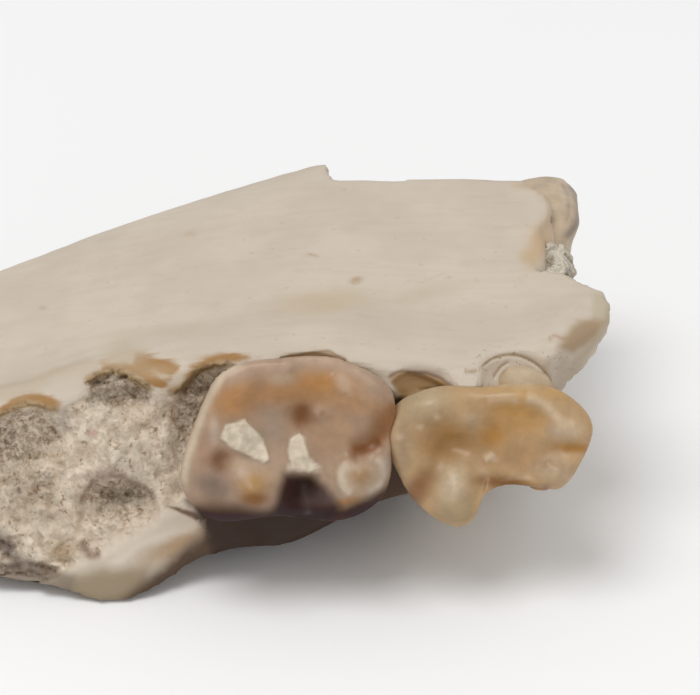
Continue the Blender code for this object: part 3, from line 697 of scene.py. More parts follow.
def seen(points):
    """Where the camera sees each point, in pixels of its picture."""
    camera = np.asarray(CAMERA_TARGET) + toward_camera() * CAMERA_DISTANCE
    away = points - MIDDLE - camera
    depth = -away @ toward_camera()
    upward = np.array((0.0, math.sin(CAMERA_RISE), math.cos(CAMERA_RISE)))
    across = PICTURE_MIDDLE[0] + PICTURE_FOCUS * away[:, 0] / depth
    down = PICTURE_MIDDLE[1] - PICTURE_FOCUS * (away @ upward) / depth
    return np.column_stack((across, down))


# Meshes
def read_vectors(items, name):
    values = np.empty(len(items) * 3, np.float32)
    items.foreach_get(name, values)
    return values.reshape(-1, 3).astype(float)


def get_points(mesh):
    return read_vectors(mesh.vertices, "co")


def get_normals(mesh):
    return read_vectors(mesh.vertex_normals, "vector")


def surface(mesh):
    """A mesh's points, the directions they face, and where the camera sees them."""
    points = get_points(mesh)
    return points, get_normals(mesh), seen(points)


def set_points(mesh, points):
    mesh.vertices.foreach_set("co", points.astype(np.float32).ravel())
    mesh.update()


def edit(mesh, change):
    """Runs change on the mesh's faces, edges and corners."""
    bm = bmesh.new()
    bm.from_mesh(mesh)
    change(bm)
    bm.to_mesh(mesh)
    bm.free()


def closed_mesh(name, points, faces):
    """A mesh of closed bodies, with their faces turned outward."""
    mesh = bpy.data.meshes.new(name)
    mesh.from_pydata(points.tolist(), [], faces)
    edit(mesh, lambda bm: bmesh.ops.recalc_face_normals(bm, faces=bm.faces))
    return mesh


def new_object(name, data):
    obj = bpy.data.objects.new(name, data)
    bpy.context.scene.collection.objects.link(obj)
    return obj


def apply_modifiers(obj):
    made = bpy.data.meshes.new_from_object(obj.evaluated_get(bpy.context.evaluated_depsgraph_get()))
    obj.modifiers.clear()
    old = obj.data
    obj.data = made
    bpy.data.meshes.remove(old)


def remesh(obj, voxel, smoothing):
    """One even skin round everything in the mesh, with its corners eased."""
    skin = obj.modifiers.new("skin", "REMESH")
    skin.mode = "VOXEL"
    skin.voxel_size = voxel
    ease = obj.modifiers.new("ease", "SMOOTH")
    ease.factor = 0.5
    ease.iterations = smoothing
    apply_modifiers(obj)


def node_copy(node, name):
    """A copy of a solid, in millimetres and in the jaw's own directions."""
    mesh = NODES[node].data.copy()
    mesh.materials.clear()
    set_points(mesh, get_points(mesh) / MM + MIDDLE)
    edit(mesh, lambda bm: bmesh.ops.remove_doubles(bm, verts=bm.verts, dist=WELD))
    return new_object(name, mesh)


def paint(mesh, name, colours):
    layer = mesh.attributes.new(name, "FLOAT_COLOR", "POINT")
    values = np.column_stack((colours, np.ones(len(colours)))).astype(np.float32)
    layer.data.foreach_set("color", values.ravel())


def mask(mesh, name, values):
    layer = mesh.attributes.new(name, "FLOAT", "POINT")
    layer.data.foreach_set("value", np.asarray(values, dtype=np.float32))


def finish_piece(obj, material, slot, *nodes):
    """Puts a piece in its place in metres, with its material, and hides the solids that it stands for."""
    mesh = obj.data
    set_points(mesh, (get_points(mesh) - MIDDLE) * MM)
    mesh.materials.clear()
    mesh.materials.append(material)
    mesh.polygons.foreach_set("use_smooth", [True] * len(mesh.polygons))
    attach(obj, "root")
    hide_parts(*nodes)


# Materials
def set_inputs(tree, node, inputs):
    """Sets a node's inputs, where an input may be another node's output."""
    for key, value in inputs.items():
        if isinstance(value, bpy.types.NodeSocket):
            tree.links.new(value, node.inputs[key])
        else:
            node.inputs[key].default_value = value


def add(tree, kind, inputs, **settings):
    """A new shader node with its settings and inputs."""
    made = tree.nodes.new(kind)
    for key, value in settings.items():
        setattr(made, key, value)
    set_inputs(tree, made, inputs)
    return made


def coordinates(tree, stretch=(1, 1, 1)):
    """The place on the object in millimetres."""
    place = add(tree, "ShaderNodeTexCoord", {})
    scale = tuple(value / MM for value in stretch)
    sized = add(tree, "ShaderNodeMapping", {"Vector": place.outputs["Object"], "Scale": scale})
    return sized.outputs["Vector"]


def noise_node(tree, size, detail=3.0, roughness=0.6, stretch=(1, 1, 1)):
    place = coordinates(tree, stretch)
    inputs = {"Vector": place, "Scale": 1 / size, "Detail": detail, "Roughness": roughness}
    return add(tree, "ShaderNodeTexNoise", inputs).outputs["Fac"]


def ranged(tree, value, low, high, least=0.0, most=1.0):
    """A value eased from least at low to most at high."""
    inputs = {"Value": value, "From Min": low, "From Max": high, "To Min": least, "To Max": most}
    return add(tree, "ShaderNodeMapRange", inputs, interpolation_type="SMOOTHSTEP").outputs["Result"]


def clouds(tree, size, low, high, least=0.0, most=1.0, detail=3.0, roughness=0.6, stretch=(1, 1, 1)):
    """Noise with lumps of the given size, ranged."""
    return ranged(tree, noise_node(tree, size, detail, roughness, stretch), low, high, least, most)


def cell_tones(tree, place, size):
    """One number between 0 and 1 for each cell of about the given size."""
    cell = add(tree, "ShaderNodeTexVoronoi", {"Vector": place, "Scale": 1 / size})
    return add(tree, "ShaderNodeSeparateColor", {"Color": cell.outputs["Color"]}).outputs[0]


def twisted_place(tree, size):
    """The place on the object, moved about by noise so that cells get uneven edges."""
    noise = add(tree, "ShaderNodeTexNoise", {"Vector": coordinates(tree), "Scale": 1 / size, "Detail": 3.0})
    inputs = {0: noise.outputs["Color"], 1: (0.9 * size,) * 3}
    twist = add(tree, "ShaderNodeVectorMath", inputs, operation="MULTIPLY")
    return add(tree, "ShaderNodeVectorMath", {0: coordinates(tree), 1: twist.outputs[0]}).outputs[0]


def attribute(tree, name, output="Fac"):
    return add(tree, "ShaderNodeAttribute", {}, attribute_name=name).outputs[output]


def plus(tree, first, second):
    return add(tree, "ShaderNodeMath", {0: first, 1: second}, operation="ADD").outputs["Value"]


def times(tree, first, second):
    return add(tree, "ShaderNodeMath", {0: first, 1: second}, operation="MULTIPLY").outputs["Value"]


def opaque(colour):
    return colour if isinstance(colour, bpy.types.NodeSocket) else (*colour, 1.0)


def mixed(tree, share, first, second, blend="MIX"):
    inputs = {0: share, 6: opaque(first), 7: opaque(second)}
    return add(tree, "ShaderNodeMix", inputs, data_type="RGBA", blend_type=blend).outputs[2]


def toned(tree, colour, tone):
    return mixed(tree, 1.0, colour, tone, "MULTIPLY")


def bump(tree, height, distance, strength, below=None):
    inputs = {"Height": height, "Distance": distance * MM, "Strength": strength}
    if below is not None:
        inputs["Normal"] = below
    return add(tree, "ShaderNodeBump", inputs).outputs["Normal"]


def bone_base(tree):
    """Cream with tan streaks and flecks, and ochre where the lips roll over."""
    colour = mixed(tree, clouds(tree, 1.6, 0.35, 0.65), *BONE_CREAMS)
    streaks = clouds(tree, 0.3, 0.42, 0.72, 0.0, 0.26, 5.0, 0.65, (0.12, 1.6, 1.0))
    colour = mixed(tree, streaks, colour, STREAK_TAN)
    colour = mixed(tree, clouds(tree, 0.2, 0.64, 0.71, 0.0, 0.4, 4.0), colour, FLECK_TAN)
    grained = clouds(tree, 0.3, 0.35, 0.65, -0.25, 0.25, 4.0, 0.6, (0.3, 1.0, 1.0))
    lip = ranged(tree, plus(tree, attribute(tree, "rim"), grained), 0.15, 0.85)
    return mixed(tree, lip, colour, LIP_OCHRE)


def bone_stains(tree, colour):
    """The grainy face, its soil, the painted colours (some of them painted shade and highlights), pores,
    painted shade in crevices, and dark lines with painted shadow under the lips, one over another.
    """
    grainy = mixed(tree, clouds(tree, 0.45, 0.4, 0.6), *GRAINY_CREAMS)
    colour = mixed(tree, attribute(tree, "grain"), colour, grainy)
    matrix = mixed(tree, clouds(tree, 0.09, 0.36, 0.62, detail=4.0, roughness=0.7), *SOIL_GREYS)
    torn = plus(tree, attribute(tree, "soil"), clouds(tree, 0.25, 0.3, 0.7, -0.3, 0.3, 4.0))
    colour = mixed(tree, ranged(tree, torn, 0.35, 0.65), colour, matrix)
    colour = mixed(tree, attribute(tree, "cover"), colour, attribute(tree, "tint", "Color"))
    holes = clouds(tree, 0.1, 0.6, 0.68, detail=2.0)
    colour = mixed(tree, times(tree, holes, attribute(tree, "pores")), colour, PORE_BROWN)
    # Painted shade in the crevices between the crumbs
    colour = mixed(tree, attribute(tree, "crevice_shade"), colour, toned(tree, colour, CREVICE_SHADE_TONE))
    brown = mixed(tree, clouds(tree, 0.15, 0.35, 0.65, detail=4.0), *LINE_BROWNS)
    return mixed(tree, ranged(tree, attribute(tree, "dark"), 0.0, 0.9), colour, brown)


def grainy_tones(tree, colour, grit):
    """Flakes, painted shade where the grain bump is low, and pale crumb on the grainy face."""
    grain = attribute(tree, "grain")
    flakes = ranged(tree, cell_tones(tree, twisted_place(tree, 0.15), 0.15), 0.0, 1.0, 0.87, 1.1)
    colour = mixed(tree, grain, colour, toned(tree, colour, flakes))
    patchy = clouds(tree, 0.35, 0.42, 0.6, 0.25, 1.0)
    # Painted shade: darker where the noise that raises the grain bump is low
    pock_shade = times(tree, times(tree, ranged(tree, grit, 0.37, 0.46, 0.9, 0.0), grain), patchy)
    colour = mixed(tree, pock_shade, colour, toned(tree, colour, POCK_SHADE_TONE))
    crumb = times(tree, clouds(tree, 0.08, 0.56, 0.66, 0.0, 0.6, roughness=0.7), grain)
    return mixed(tree, crumb, colour, toned(tree, colour, CRUMB_TONE))


def new_material(name, look, *settings):
    """A material whose shader has the inputs that look makes for its node tree."""
    material = bpy.data.materials.new(name)
    material.use_nodes = True
    tree = material.node_tree
    set_inputs(tree, tree.nodes["Principled BSDF"], look(tree, *settings))
    return material


def bone_look(tree):
    """Cream bone with tan stains, ochre lips with painted shadow under them, painted shade in crevices and
    where the grain bump is low, and grainy grey-brown matrix, where the masks say.
    """
    grit = noise_node(tree, 0.13, 5.0, 0.7)
    grain_bump = bump(tree, times(tree, grit, attribute(tree, "grain")), 0.07, 1.0)
    lines = noise_node(tree, 0.25, 4.0, 0.6, (0.12, 1.0, 1.0))
    return {
        "Base Color": grainy_tones(tree, bone_stains(tree, bone_base(tree)), grit),
        "Roughness": clouds(tree, 0.5, 0.3, 0.7, 0.5, 0.66),
        "Specular IOR Level": 0.3,
        "Normal": bump(tree, lines, 0.015, 0.4, grain_bump),
    }


def enamel_look(tree, gloss):
    """Glossy, slightly see-through enamel in its painted colours, which is dull where the mask says."""
    dull = times(tree, attribute(tree, "dull"), 0.45)
    shades = clouds(tree, 0.35, 0.3, 0.7, 0.9, 1.1, 4.0)
    return {
        "Base Color": toned(tree, attribute(tree, "paint", "Color"), shades),
        "Roughness": plus(tree, clouds(tree, 0.5, 0.35, 0.65, gloss, gloss + 0.14, 4.0), dull),
        "Specular IOR Level": 0.32,
        "Subsurface Weight": 0.2,
        "Subsurface Radius": (1.0, 0.55, 0.3),
        "Subsurface Scale": 0.25 * MM,
        "Coat Weight": 0.08,
        "Coat Roughness": 0.2,
        "Normal": bump(tree, noise_node(tree, 0.12, 4.0), 0.012, 0.5),
    }


def matrix_look(tree):
    """Crumbly grey matrix with pale grains."""
    shade = ranged(tree, cell_tones(tree, coordinates(tree), 0.09), 0.2, 0.9)
    colour = mixed(tree, shade, *LUMP_GREYS)
    colour = mixed(tree, attribute(tree, "light"), colour, LUMP_LIGHT)
    return {
        "Base Color": toned(tree, colour, clouds(tree, 0.05, 0.35, 0.65, 0.75, 1.2)),
        "Roughness": 0.75,
        "Normal": bump(tree, noise_node(tree, 0.04, 4.0), 0.02, 0.8),
    }


def floor_look(tree):
    return {"Base Color": mixed(tree, clouds(tree, 30.0, 0.3, 0.7), *FLOOR_WHITES), "Roughness": 0.9}


# Closed bodies as points and faces
def lattice_faces(rows, columns):
    """Faces of a closed sleeve of rows of points, with both ends shut."""
    faces = []
    for row, column in product(range(rows - 1), range(columns)):
        after = (column + 1) % columns
        low, high = row * columns, (row + 1) * columns
        faces.append((low + column, low + after, high + after, high + column))
    faces.append(tuple(range(columns))[::-1])
    faces.append(tuple(range((rows - 1) * columns, rows * columns)))
    return faces


def flat_ring(u, v, w):
    return np.column_stack((u, v, np.full(len(u), w)))


def ball_points(centre, half_sizes):
    rings = []
    angles = np.linspace(0, math.tau, ROOT_ANGLES, endpoint=False)
    for turn in np.linspace(ROUND_END, math.pi - ROUND_END, ROOT_RINGS):
        ring = flat_ring(np.cos(angles), np.sin(angles), 1 / math.tan(turn))
        rings.append(ring * math.sin(turn) * half_sizes + centre)
    return np.vstack(rings), lattice_faces(ROOT_RINGS, ROOT_ANGLES)


def joined(bodies):
    """Several bodies as one list of points and one of faces."""
    faces = []
    count = 0
    for points, more_faces in bodies:
        faces += [tuple(i + count for i in face) for face in more_faces]
        count += len(points)
    return np.vstack([points for points, more_faces in bodies]), faces


# Teeth
def outline_radius(outline, angles):
    """The distance from the middle to a smooth closed outline, at the angles."""
    points = np.asarray(outline)
    closed = np.vstack((points[-2:], points, points[:3]))
    places = np.arange(len(closed), dtype=float)
    drawn = smooth(places, closed, np.linspace(2.0, len(points) + 2.0, OUTLINE_STEPS))
    around = np.arctan2(drawn[:, 1], drawn[:, 0])
    order = np.argsort(around)
    return np.interp(angles, around[order], np.hypot(drawn[:, 0], drawn[:, 1])[order], period=math.tau)


def crown_axes():
    """The crown's directions, as rows: along the jaw, across the chewing face, and out of it."""
    sine, cosine = math.sin(CROWN_LEAN), math.cos(CROWN_LEAN)
    return np.array(((1, 0, 0), (0, sine, cosine), (0, -cosine, sine)))


def crown_points(tooth):
    """The chewing face, ring by ring from its middle, then the walls down to the closed neck."""
    angles = np.linspace(-math.pi, math.pi, CROWN_ANGLES, endpoint=False)
    rim = outline_radius(tooth["outline"], angles)
    rings = []
    for reach in np.linspace(0.004, 1.0, FACE_RINGS):
        u, v = rim * reach * np.cos(angles), rim * reach * np.sin(angles)
        flat = np.column_stack((u, v))
        w = sum(rise * blob(flat, (pu, pv), (hu, hv)) for pu, pv, hu, hv, rise in tooth["relief"])
        w = w - BASIN_DEPTH * (1 - reach**2)
        w = w * (1 - reach**6) - RIM_ROUNDING * reach**8
        rings.append(np.column_stack((u, v, w)))
    for down in np.linspace(0.0, 1.0, WALL_RINGS)[1:-1]:
        taper = min(1.0, down / NECK_SHARE)
        closing = max(0.0, (down - NECK_SHARE) / (1 - NECK_SHARE))
        u = rim * np.cos(angles) * mix(1.0, NECK_LENGTH, taper) * (1 - closing)
        v = rim * np.sin(angles) * mix(1.0, NECK_WIDTH, taper) * (1 - closing)
        w = -RIM_ROUNDING - (CROWN_HEIGHT - RIM_ROUNDING) * taper - NECK_BULGE * closing
        rings.append(flat_ring(u, v, w))
    return np.vstack(rings), lattice_faces(len(rings), CROWN_ANGLES)


def root_points(u):
    angles = np.linspace(0, math.tau, ROOT_ANGLES, endpoint=False)
    rings = []
    for share in np.linspace(0, 1, ROOT_RINGS):
        size = mix(1.0, ROOT_TIP, share)
        w = ROOT_START - CROWN_HEIGHT - share * (ROOT_LENGTH + ROOT_START)
        ring_u = u + np.cos(angles) * size * ROOT_HALF_SIZES[0]
        rings.append(flat_ring(ring_u, np.sin(angles) * size * ROOT_HALF_SIZES[1], w))
    return np.vstack(rings), lattice_faces(ROOT_RINGS, ROOT_ANGLES)


def tooth_blank(name, tooth):
    """The crown and both roots as one skin."""
    reach = max(u for u, v in tooth["outline"])
    roots = [root_points(side * reach * ROOT_SPACING) for side in (-1, 1)]
    points, faces = joined([crown_points(tooth)] + roots)
    points = points @ crown_axes() + tooth["centre"]
    bulges = [ball_points(*bulge) for bulge in tooth["root_bulges"]]
    obj = new_object(name, closed_mesh(name, *joined([(points, faces)] + bulges)))
    remesh(obj, TOOTH_VOXEL, TOOTH_SMOOTHING)
    return obj


def crust_share(points, places, outline):
    ragged = strayed(places, points, 0.25, 2, (5.0, 9.0), CRUST_STRAY)
    return step(-0.5, 2.5, depth_inside(ragged, outline))


def carve_lines(mesh, tooth):
    """Raises the fine ridges and crusts of the chewing face and sinks its grooves."""
    points, normals, places = surface(mesh)
    height = np.zeros(len(points))
    for line, half_width, rise in tooth["lines"]:
        height += rise * stroke(places, line, half_width)
    height += ENAMEL_GRAIN * rough(points, 0.5, 3)
    for outline, thickness in tooth["crusts"]:
        crust = crust_share(points, places, outline)
        height += crust * (thickness + CRUST_GRAIN * rough(points, 0.25, 3))
    centre, half_sizes, rise = tooth["contact"]
    swell = rise * blob(places, centre, half_sizes) * step(0.2, 0.6, np.abs(normals[:, 0]))
    height = height * step(0.0, 0.5, facing_camera(normals)) + swell
    set_points(mesh, points + normals * height[:, None])


def painted(colours, places, facing, look):
    """Colours with soft spots, lines and patches laid over them, and how much they cover."""
    cover = np.zeros(len(places))
    layers = []
    for centre, half_sizes, turn, colour, strength in look["spots"]:
        away = places - centre
        turned = math.radians(turn)
        along = away[:, 0] * math.cos(turned) + away[:, 1] * math.sin(turned)
        across = away[:, 1] * math.cos(turned) - away[:, 0] * math.sin(turned)
        fall = (along / half_sizes[0]) ** 2 + (across / half_sizes[1]) ** 2
        layers.append((strength * np.exp(-(fall**1.4)), colour))
    for line, half_width, colour, strength in look["streaks"]:
        layers.append((strength * stroke(places, line, half_width), colour))
    for outline, blur, colour, strength in look["patches"]:
        layers.append((strength * step(-blur, blur, depth_inside(places, outline)), colour))
    for share, colour in layers:
        share = share * facing
        colours = mix(colours, np.asarray(colour), share[:, None])
        cover = cover + (1 - cover) * share
    return colours, cover


def tooth_colours(tooth, points, normals, places):
    """Colours of the enamel, and where it is dull with matrix or root."""
    facing = in_view(normals)
    out = ((points - tooth["centre"]) @ crown_axes().T)[:, 2]
    dull = np.maximum(step(-0.95, -1.3, out), step(-0.6, -0.3, points[:, 1]))
    base = mix(np.asarray(tooth["base"]), ROOT_CREAM, dull[:, None])
    colours = painted(base, places, facing, tooth)[0]
    for outline, blur, colour, strength in tooth["patches"]:
        dull = np.maximum(dull, 0.7 * facing * step(-blur, blur, depth_inside(places, outline)))
    for outline, thickness in tooth["crusts"]:
        share = facing * crust_share(points, places, outline)
        cream = mix(*CRUST_CREAMS, step(-0.5, 0.8, rough(points, 0.15))[:, None])
        colours = mix(colours, cream, share[:, None])
        dull = np.maximum(dull, share)
    return np.clip((colours - GLOSS_LIFT) * np.asarray(tooth["gain"]), DARKEST, 1.0), dull


def add_tooth(name, node, tooth, material, slot):
    obj = tooth_blank(name, tooth)
    carve_lines(obj.data, tooth)
    colours, dull = tooth_colours(tooth, *surface(obj.data))
    paint(obj.data, "paint", colours)
    mask(obj.data, "dull", dull)
    finish_piece(obj, material, slot, node)


# Sockets
def edge_at(edge, x):
    edge = np.asarray(edge)
    return smooth(edge[:, 0], edge[:, 1:], x)


def socket_face(x, z):
    """How far out the face that holds the sockets lies at x and z."""
    rim = edge_at(INNER_RIM, x)
    outer = edge_at(OUTER_RIM, x)
    share = (z - outer[:, 1]) / (rim[:, 1] - outer[:, 1])
    return mix(outer[:, 0], rim[:, 0], share) + SOCKET_FACE_HOLLOW * np.sin(math.pi * np.clip(share, 0, 1))


def socket_depth(points):
    """How deep the grainy socket face lies, how much of it is there, how soiled it is, and where shade is
    painted into its crevices.
    """
    places = seen(points)
    ragged = strayed(places, points, 0.3, 2, (5.0, 9.0), SOCKET_STRAY)
    share = step(0.0, SOCKET_START, depth_inside(ragged, SOCKET_OUTLINE))
    fade = mix(*OUTER_FADES, step(*OUTER_FADE_PLACES, places[:, 0]))
    share *= step(0.0, 1.0, along_line(ragged, OUTER_LIP)[0] / fade)
    share *= step(*SOCKET_END, points[:, 0])
    depth = LIP_STEP * step(0.0, LIP_SLOPE, along_line(ragged, INNER_LIP)[0]) ** 0.3
    soiled = np.zeros(len(points))
    for centre, sizes, deep, soil in PITS:
        reach = step(0.08, 0.8, blob(ragged, centre, sizes))
        depth += deep * reach
        soiled += soil * reach
    soiled = np.clip(soiled, 0, 1)
    twisted = strayed(points, points, 0.25, 2, (3.0, 17.0, 31.0), CRUMB_TWIST)
    crumbs = sum(size * np.abs(wave(twisted, size * 1.6, 2.0)) for size in CRUMB_SIZES)
    fine = grains(twisted, GRAIN_SIZE, 3.0)
    grain = (0.32 + 0.4 * soiled) * crumbs + (0.015 + 0.06 * soiled) * fine + 0.05 * rough(points, 0.5, 2)
    # Painted shade: the colour is darkened where the crumbs are low, more strongly where the face is soiled
    crevice_shade = step(0.16, 0.02, crumbs + 0.06 * fine) * (0.45 + 0.5 * soiled)
    return share * (depth - grain + 0.04), share, soiled * share, crevice_shade * share


def socket_body(label, spread, front_at):
    """Points and faces of a socket's contents: a front that follows the socket face, and a bowl behind it."""
    x, z, half_length, half_width, depth = SOCKETS[label]
    angles = np.linspace(0, math.tau, FILLING_ANGLES, endpoint=False)
    rings = []
    for reach in np.linspace(0.01, 1.0, FILLING_RINGS):
        ring_x = x + np.cos(angles) * reach * (half_length + spread)
        ring_z = z + np.sin(angles) * reach * (half_width + spread)
        ring_z = np.minimum(ring_z, edge_at(INNER_RIM, ring_x)[:, 1] + FILLING_OVER_RIM)
        ring = np.column_stack((ring_x, socket_face(ring_x, ring_z), ring_z))
        rings.append(ring - toward_camera() * front_at(ring, reach)[:, None])
    edge = rings[-1]
    for back in np.linspace(0.0, 1.0, FILLING_BACK_RINGS)[1:]:
        around = max(math.cos(back * math.pi / 2), 0.005)
        ring = edge + (np.array((x, 0, z)) - edge) * (1 - around) * np.array((1, 0, 1))
        ring[:, 1] += depth * math.sin(back * math.pi / 2) * FILLING_BOWL
        rings.append(ring)
    return np.vstack(rings), lattice_faces(len(rings), FILLING_ANGLES)


def even_front(ring, reach):
    return np.full(len(ring), MOUTH_DEPTH)


def grainy_front(ring, reach):
    return socket_depth(ring)[0] - FILLING_PROUD * (1 - 2.4 * reach**6 + rough(ring, 0.3, 3, 6.0))


# Bone
def keep_largest(mesh):
    """Keeps the outer skin and drops the shells of hollows closed up inside it."""

    def drop_rest(bm):
        loose = set(bm.verts)
        parts = []
        while loose:
            part = [loose.pop()]
            for vert in part:
                beside = {edge.other_vert(vert) for edge in vert.link_edges} & loose
                loose -= beside
                part.extend(beside)
            parts.append(part)
        rest = [vert for part in sorted(parts, key=len)[:-1] for vert in part]
        bmesh.ops.delete(bm, geom=rest, context="VERTS")

    edit(mesh, drop_rest)


def finer(mesh, chosen, cuts):
    """Splits the faces whose corners are all chosen into a finer grid."""

    def split(bm):
        faces = [face for face in bm.faces if all(chosen[vert.index] for vert in face.verts)]
        edges = {edge for face in faces for edge in face.edges}
        bmesh.ops.subdivide_edges(bm, edges=list(edges), cuts=cuts, use_grid_fill=True)

    edit(mesh, split)


def bone_regions(mesh):
    """The corners of the grainy socket face and of the smooth face, both as the camera sees them."""
    points, normals, places = surface(mesh)
    toward = facing_camera(normals)
    sockets = depth_inside(places, SOCKET_OUTLINE)
    gaps = depth_inside(places, GAP_REGION)
    grainy = (sockets > -GRAINY_MARGIN) & (points[:, 0] < SOCKET_END[0]) & (points[:, 1] < SOCKET_BACK)
    grainy = (grainy | (gaps > 0) & (points[:, 2] > GAP_FLOOR)) & (toward > 0.0)
    plain = (sockets < -PLAIN_MARGIN) & (gaps < -GAP_MARGIN) & (places[:, 0] > PICTURE_LEFT)
    plain &= (toward > 0.3) & (points[:, 2] > 3.0)
    plain |= grainy & (places[:, 0] < PLAIN_LEFT)
    grainy &= places[:, 0] > GRAINY_LEFT
    return grainy, plain


def break_share(points, normals):
    """Where the bone is broken across: its rear end, its front end and the edge beside the incisor."""
    across = step(0.35, 0.6, np.abs(normals[:, 0])) * step(0.25, -0.05, facing_camera(normals))
    return across * (points[:, 1] > -0.3)


def thin_out(obj):
    """Merges faces on the far side, where the bone is smooth."""
    points, normals, places = surface(obj.data)
    grainy, plain = bone_regions(obj.data)
    far = ~grainy & ~plain & (break_share(points, normals) < 0.1)
    far &= (facing_camera(normals) < -0.05) | (places[:, 0] <= PICTURE_LEFT)
    group = obj.vertex_groups.new(name="far")
    group.add([int(i) for i in np.flatnonzero(far)], 1.0, "ADD")
    merge = obj.modifiers.new("merge", "DECIMATE")
    merge.vertex_group = "far"
    merge.ratio = 1 - FAR_CUT * float(np.mean(far))
    apply_modifiers(obj)
    obj.vertex_groups.clear()


def bone_masks(mesh, points, normals, face_look, broken=0.0):
    """Tints (some of them painted shade and highlights), lips with the painted shadow under them, soil and
    painted shade in crevices, from what socket_depth says of the same points.
    """
    share, soiled, crevice_shade = face_look
    places = seen(points)
    facing = step(-0.6, -0.2, facing_camera(normals))
    facing = np.maximum(facing, step(1.0, 0.6, points[:, 2]) * step(0.5, 0.0, points[:, 1]))
    rim = sum(strength * stroke(places, line, width) for line, width, strength in LIP_TANS)
    rim = rim * (0.9 + 0.4 * rough(points, 0.8, 2, 4.0)) * (1 - share)
    # The dark mask: painted shadow under the lips, together with the dark brown lines
    dark = sum(LIP_SHADE_STRENGTH * stroke(places, line, width) for line, width in LIP_SHADES)
    dark = dark + sum(strength * stroke(places, line, width) for line, width, strength in DARK_LINES)
    look = dict(BONE_LOOK)
    look["patches"] += tuple((outline, GAP_BLUR, *tone) for outline, deep, *tone in GAPS)
    drifted = strayed(places, points, 0.5, 3, (13.0, 19.0), DRIFT)
    tint, cover = painted(CREAM, drifted, facing, look)
    tint = (tint - np.outer(1 - cover, CREAM)) / np.maximum(cover, 0.02)[:, None]
    marrow = broken * step(0.2, 0.8, points[:, 2]) * step(4.4, 3.9, points[:, 2])
    masks = {
        "cover": cover,
        "pores": facing * (1 - share) * blob(places, *PORES),
        "rim": np.clip(rim * facing, 0, 1),
        "dark": np.clip(dark * facing, 0, 1),
        "soil": np.maximum(soiled, 0.6 * marrow),
        "crevice_shade": crevice_shade,
        "grain": np.maximum(share, 0.8 * broken),
    }
    paint(mesh, "tint", tint)
    for name, values in masks.items():
        mask(mesh, name, values)


def bone_blank():
    """The bone with its socket mouths filled, so that the grainy face runs on under the matrix."""
    obj = node_copy("jaw_bone", "bone_skin")
    bodies = [(get_points(obj.data), [tuple(face.vertices) for face in obj.data.polygons])]
    bodies += [socket_body(label, MOUTH_SPREAD, even_front) for label in SOCKETS]
    bodies += [ball_points(*shelf) for shelf in NOTCH_SHELVES]
    obj.data = closed_mesh("bone_skin", *joined(bodies))
    remesh(obj, BONE_VOXEL, BONE_SMOOTHING)
    keep_largest(obj.data)
    thin_out(obj)
    finer(obj.data, bone_regions(obj.data)[0], FINE_CUTS)
    finer(obj.data, bone_regions(obj.data)[1], FACE_CUTS)
    return obj


def add_bone(material):
    obj = bone_blank()
    mesh = obj.data
    points, normals, places = surface(mesh)
    toward = facing_camera(normals)
    face = step(-0.1, 0.1, toward) * (points[:, 1] < SOCKET_BACK)
    depth, *look = socket_depth(points)
    look = [values * face for values in look]
    for outline, deep, colour, strength in GAPS:
        depth = np.maximum(depth, deep * step(-1.0, 4.0, depth_inside(places, outline)))
    for line, width, strength in DARK_LINES:
        depth = np.maximum(depth, DARK_LINE_DEPTH * strength * stroke(places, line, width))
    broken = break_share(points, normals) * (1 - look[0])
    lift = FACE_WAVES * rough(points, 1.6, 2) * (1 - look[0])
    lift += step(0.0, -0.4, toward) * FAR_WAVES * rough(points, 1.1, 4, 5.0)
    lift += broken * (BREAK_LUMPS * rough(points, 0.8, 4) - BREAK_PITS * np.abs(wave(points, 0.35)))
    points += normals * lift[:, None] - toward_camera() * (depth * face)[:, None]
    for centre, half_sizes, move in PUSHES:
        points += (blob(places, centre, half_sizes) * (toward > -0.6))[:, None] * np.asarray(move)
    points[:, 2] = np.maximum(points[:, 2], 0.0)
    set_points(mesh, points)
    bone_masks(mesh, points, get_normals(mesh), look, broken)
    finish_piece(obj, material, "cream_bone", "jaw_bone")


def add_incisor(material):
    obj = node_copy("incisor", "incisor_stub")
    remesh(obj, INCISOR_VOXEL, INCISOR_SMOOTHING)
    mesh = obj.data
    points, normals, places = surface(mesh)
    tip = step(*TIP_REACH, points[:, 0])
    points[:, 0] -= sum(cut * step(low, high, places[:, 1]) * tip for cut, low, high in TIP_CUTS)
    points += normals * (INCISOR_WAVES * rough(points, 0.7, 3))[:, None]
    set_points(mesh, points)
    base = np.asarray(INCISOR_LOOK["base"])
    colours = painted(base, places, in_view(get_normals(mesh)), INCISOR_LOOK)[0]
    paint(mesh, "paint", np.clip(colours - GLOSS_LIFT, DARKEST, 1.0))
    mask(mesh, "dull", np.full(len(points), INCISOR_DULL))
    finish_piece(obj, material, "tan_dentine", "incisor")


# Matrix
def add_socket_filling(label, material):
    points, faces = socket_body(label, FILLING_SPREAD, grainy_front)
    name = f"{label}_filling"
    mesh = closed_mesh(name, points, faces)
    bone_masks(mesh, points, get_normals(mesh), socket_depth(points)[1:])
    finish_piece(new_object(name, mesh), material, "grey_matrix", f"sediment_{label}_socket")


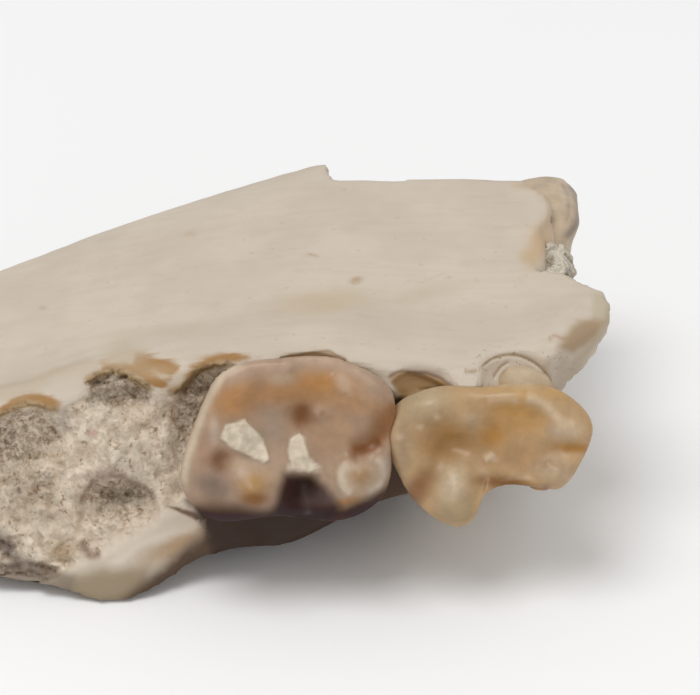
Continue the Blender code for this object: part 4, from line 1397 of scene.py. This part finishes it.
def add_notch_filling(material):
    obj = node_copy("canal_sediment", "notch_filling")
    remesh(obj, LUMP_VOXEL, LUMP_SMOOTHING)
    mesh = obj.data
    points, normals, places = surface(mesh)
    forward, *forward_places = LUMP_FORWARD
    sink, *sink_places = LUMP_SINK
    points[:, 0] += forward * step(*forward_places, places[:, 0])
    points -= toward_camera() * (sink * step(*sink_places, places[:, 0]))[:, None]
    away, label = cells(points + 0.04 * rough(points, 0.2)[:, None], LUMP_CELL)
    height = 0.12 * (label - 0.5) - 0.06 * away + 0.04 * rough(points, 0.3, 3)
    set_points(mesh, points + normals * height[:, None])
    mask(mesh, "light", np.clip(1.2 * label - 0.25, 0, 1))
    finish_piece(obj, material, "grey_matrix", "canal_sediment")


# Floor, light and camera
def add_floor():
    mesh = bpy.data.meshes.new("floor")
    mesh.from_pydata(FLOOR_CORNERS, [], [(0, 1, 2, 3)])
    mesh.materials.append(new_material("floor_paper", floor_look))
    floor = new_object("floor", mesh)


def add_light(name, place, size, power):
    data = bpy.data.lights.new(name, "AREA")
    data.shape = "DISK"
    data.size = size * MM
    data.energy = power
    light = new_object(name, data)
    light.location = Vector(place) * MM
    light.rotation_euler = (-light.location).to_track_quat("-Z", "Y").to_euler()


def set_tones():
    """Colours as a plain photograph shows them."""
    bpy.context.scene.view_settings.view_transform = "Standard"


def add_world():
    world = bpy.data.worlds.new("studio")
    world.use_nodes = True
    tree = world.node_tree
    set_inputs(tree, tree.nodes["Background"], {"Color": (1.0, 1.0, 1.0, 1.0), "Strength": SKY_STRENGTH})
    bpy.context.scene.world = world


def add_camera():
    data = bpy.data.cameras.new("camera")
    data.lens = CAMERA_LENS
    data.sensor_width = CAMERA_SENSOR
    data.clip_start, data.clip_end = CAMERA_REACH
    camera = new_object("camera", data)
    camera.location = (Vector(CAMERA_TARGET) + Vector(toward_camera()) * CAMERA_DISTANCE) * MM
    camera.rotation_euler = (math.pi / 2 - CAMERA_RISE, 0.0, 0.0)
    bpy.context.scene.camera = camera


def build():
    add_camera()
    set_tones()
    add_world()
    add_floor()
    for name, light in LIGHTS.items():
        add_light(name, *light)
    bone = new_material("fossil_bone", bone_look)
    add_bone(bone)
    lilac = new_material("molar_enamel", enamel_look, 0.34)
    add_tooth("molar_crown_and_roots", "first_molar", MOLAR, lilac, "lilac_enamel")
    amber = new_material("premolar_enamel", enamel_look, 0.32)
    add_tooth("premolar_crown_and_roots", "fourth_premolar", PREMOLAR, amber, "amber_enamel")
    add_incisor(new_material("incisor_dentine", enamel_look, 0.35))
    for label in SOCKETS:
        add_socket_filling(label, bone)
    add_notch_filling(new_material("sediment_matrix", matrix_look))


build()
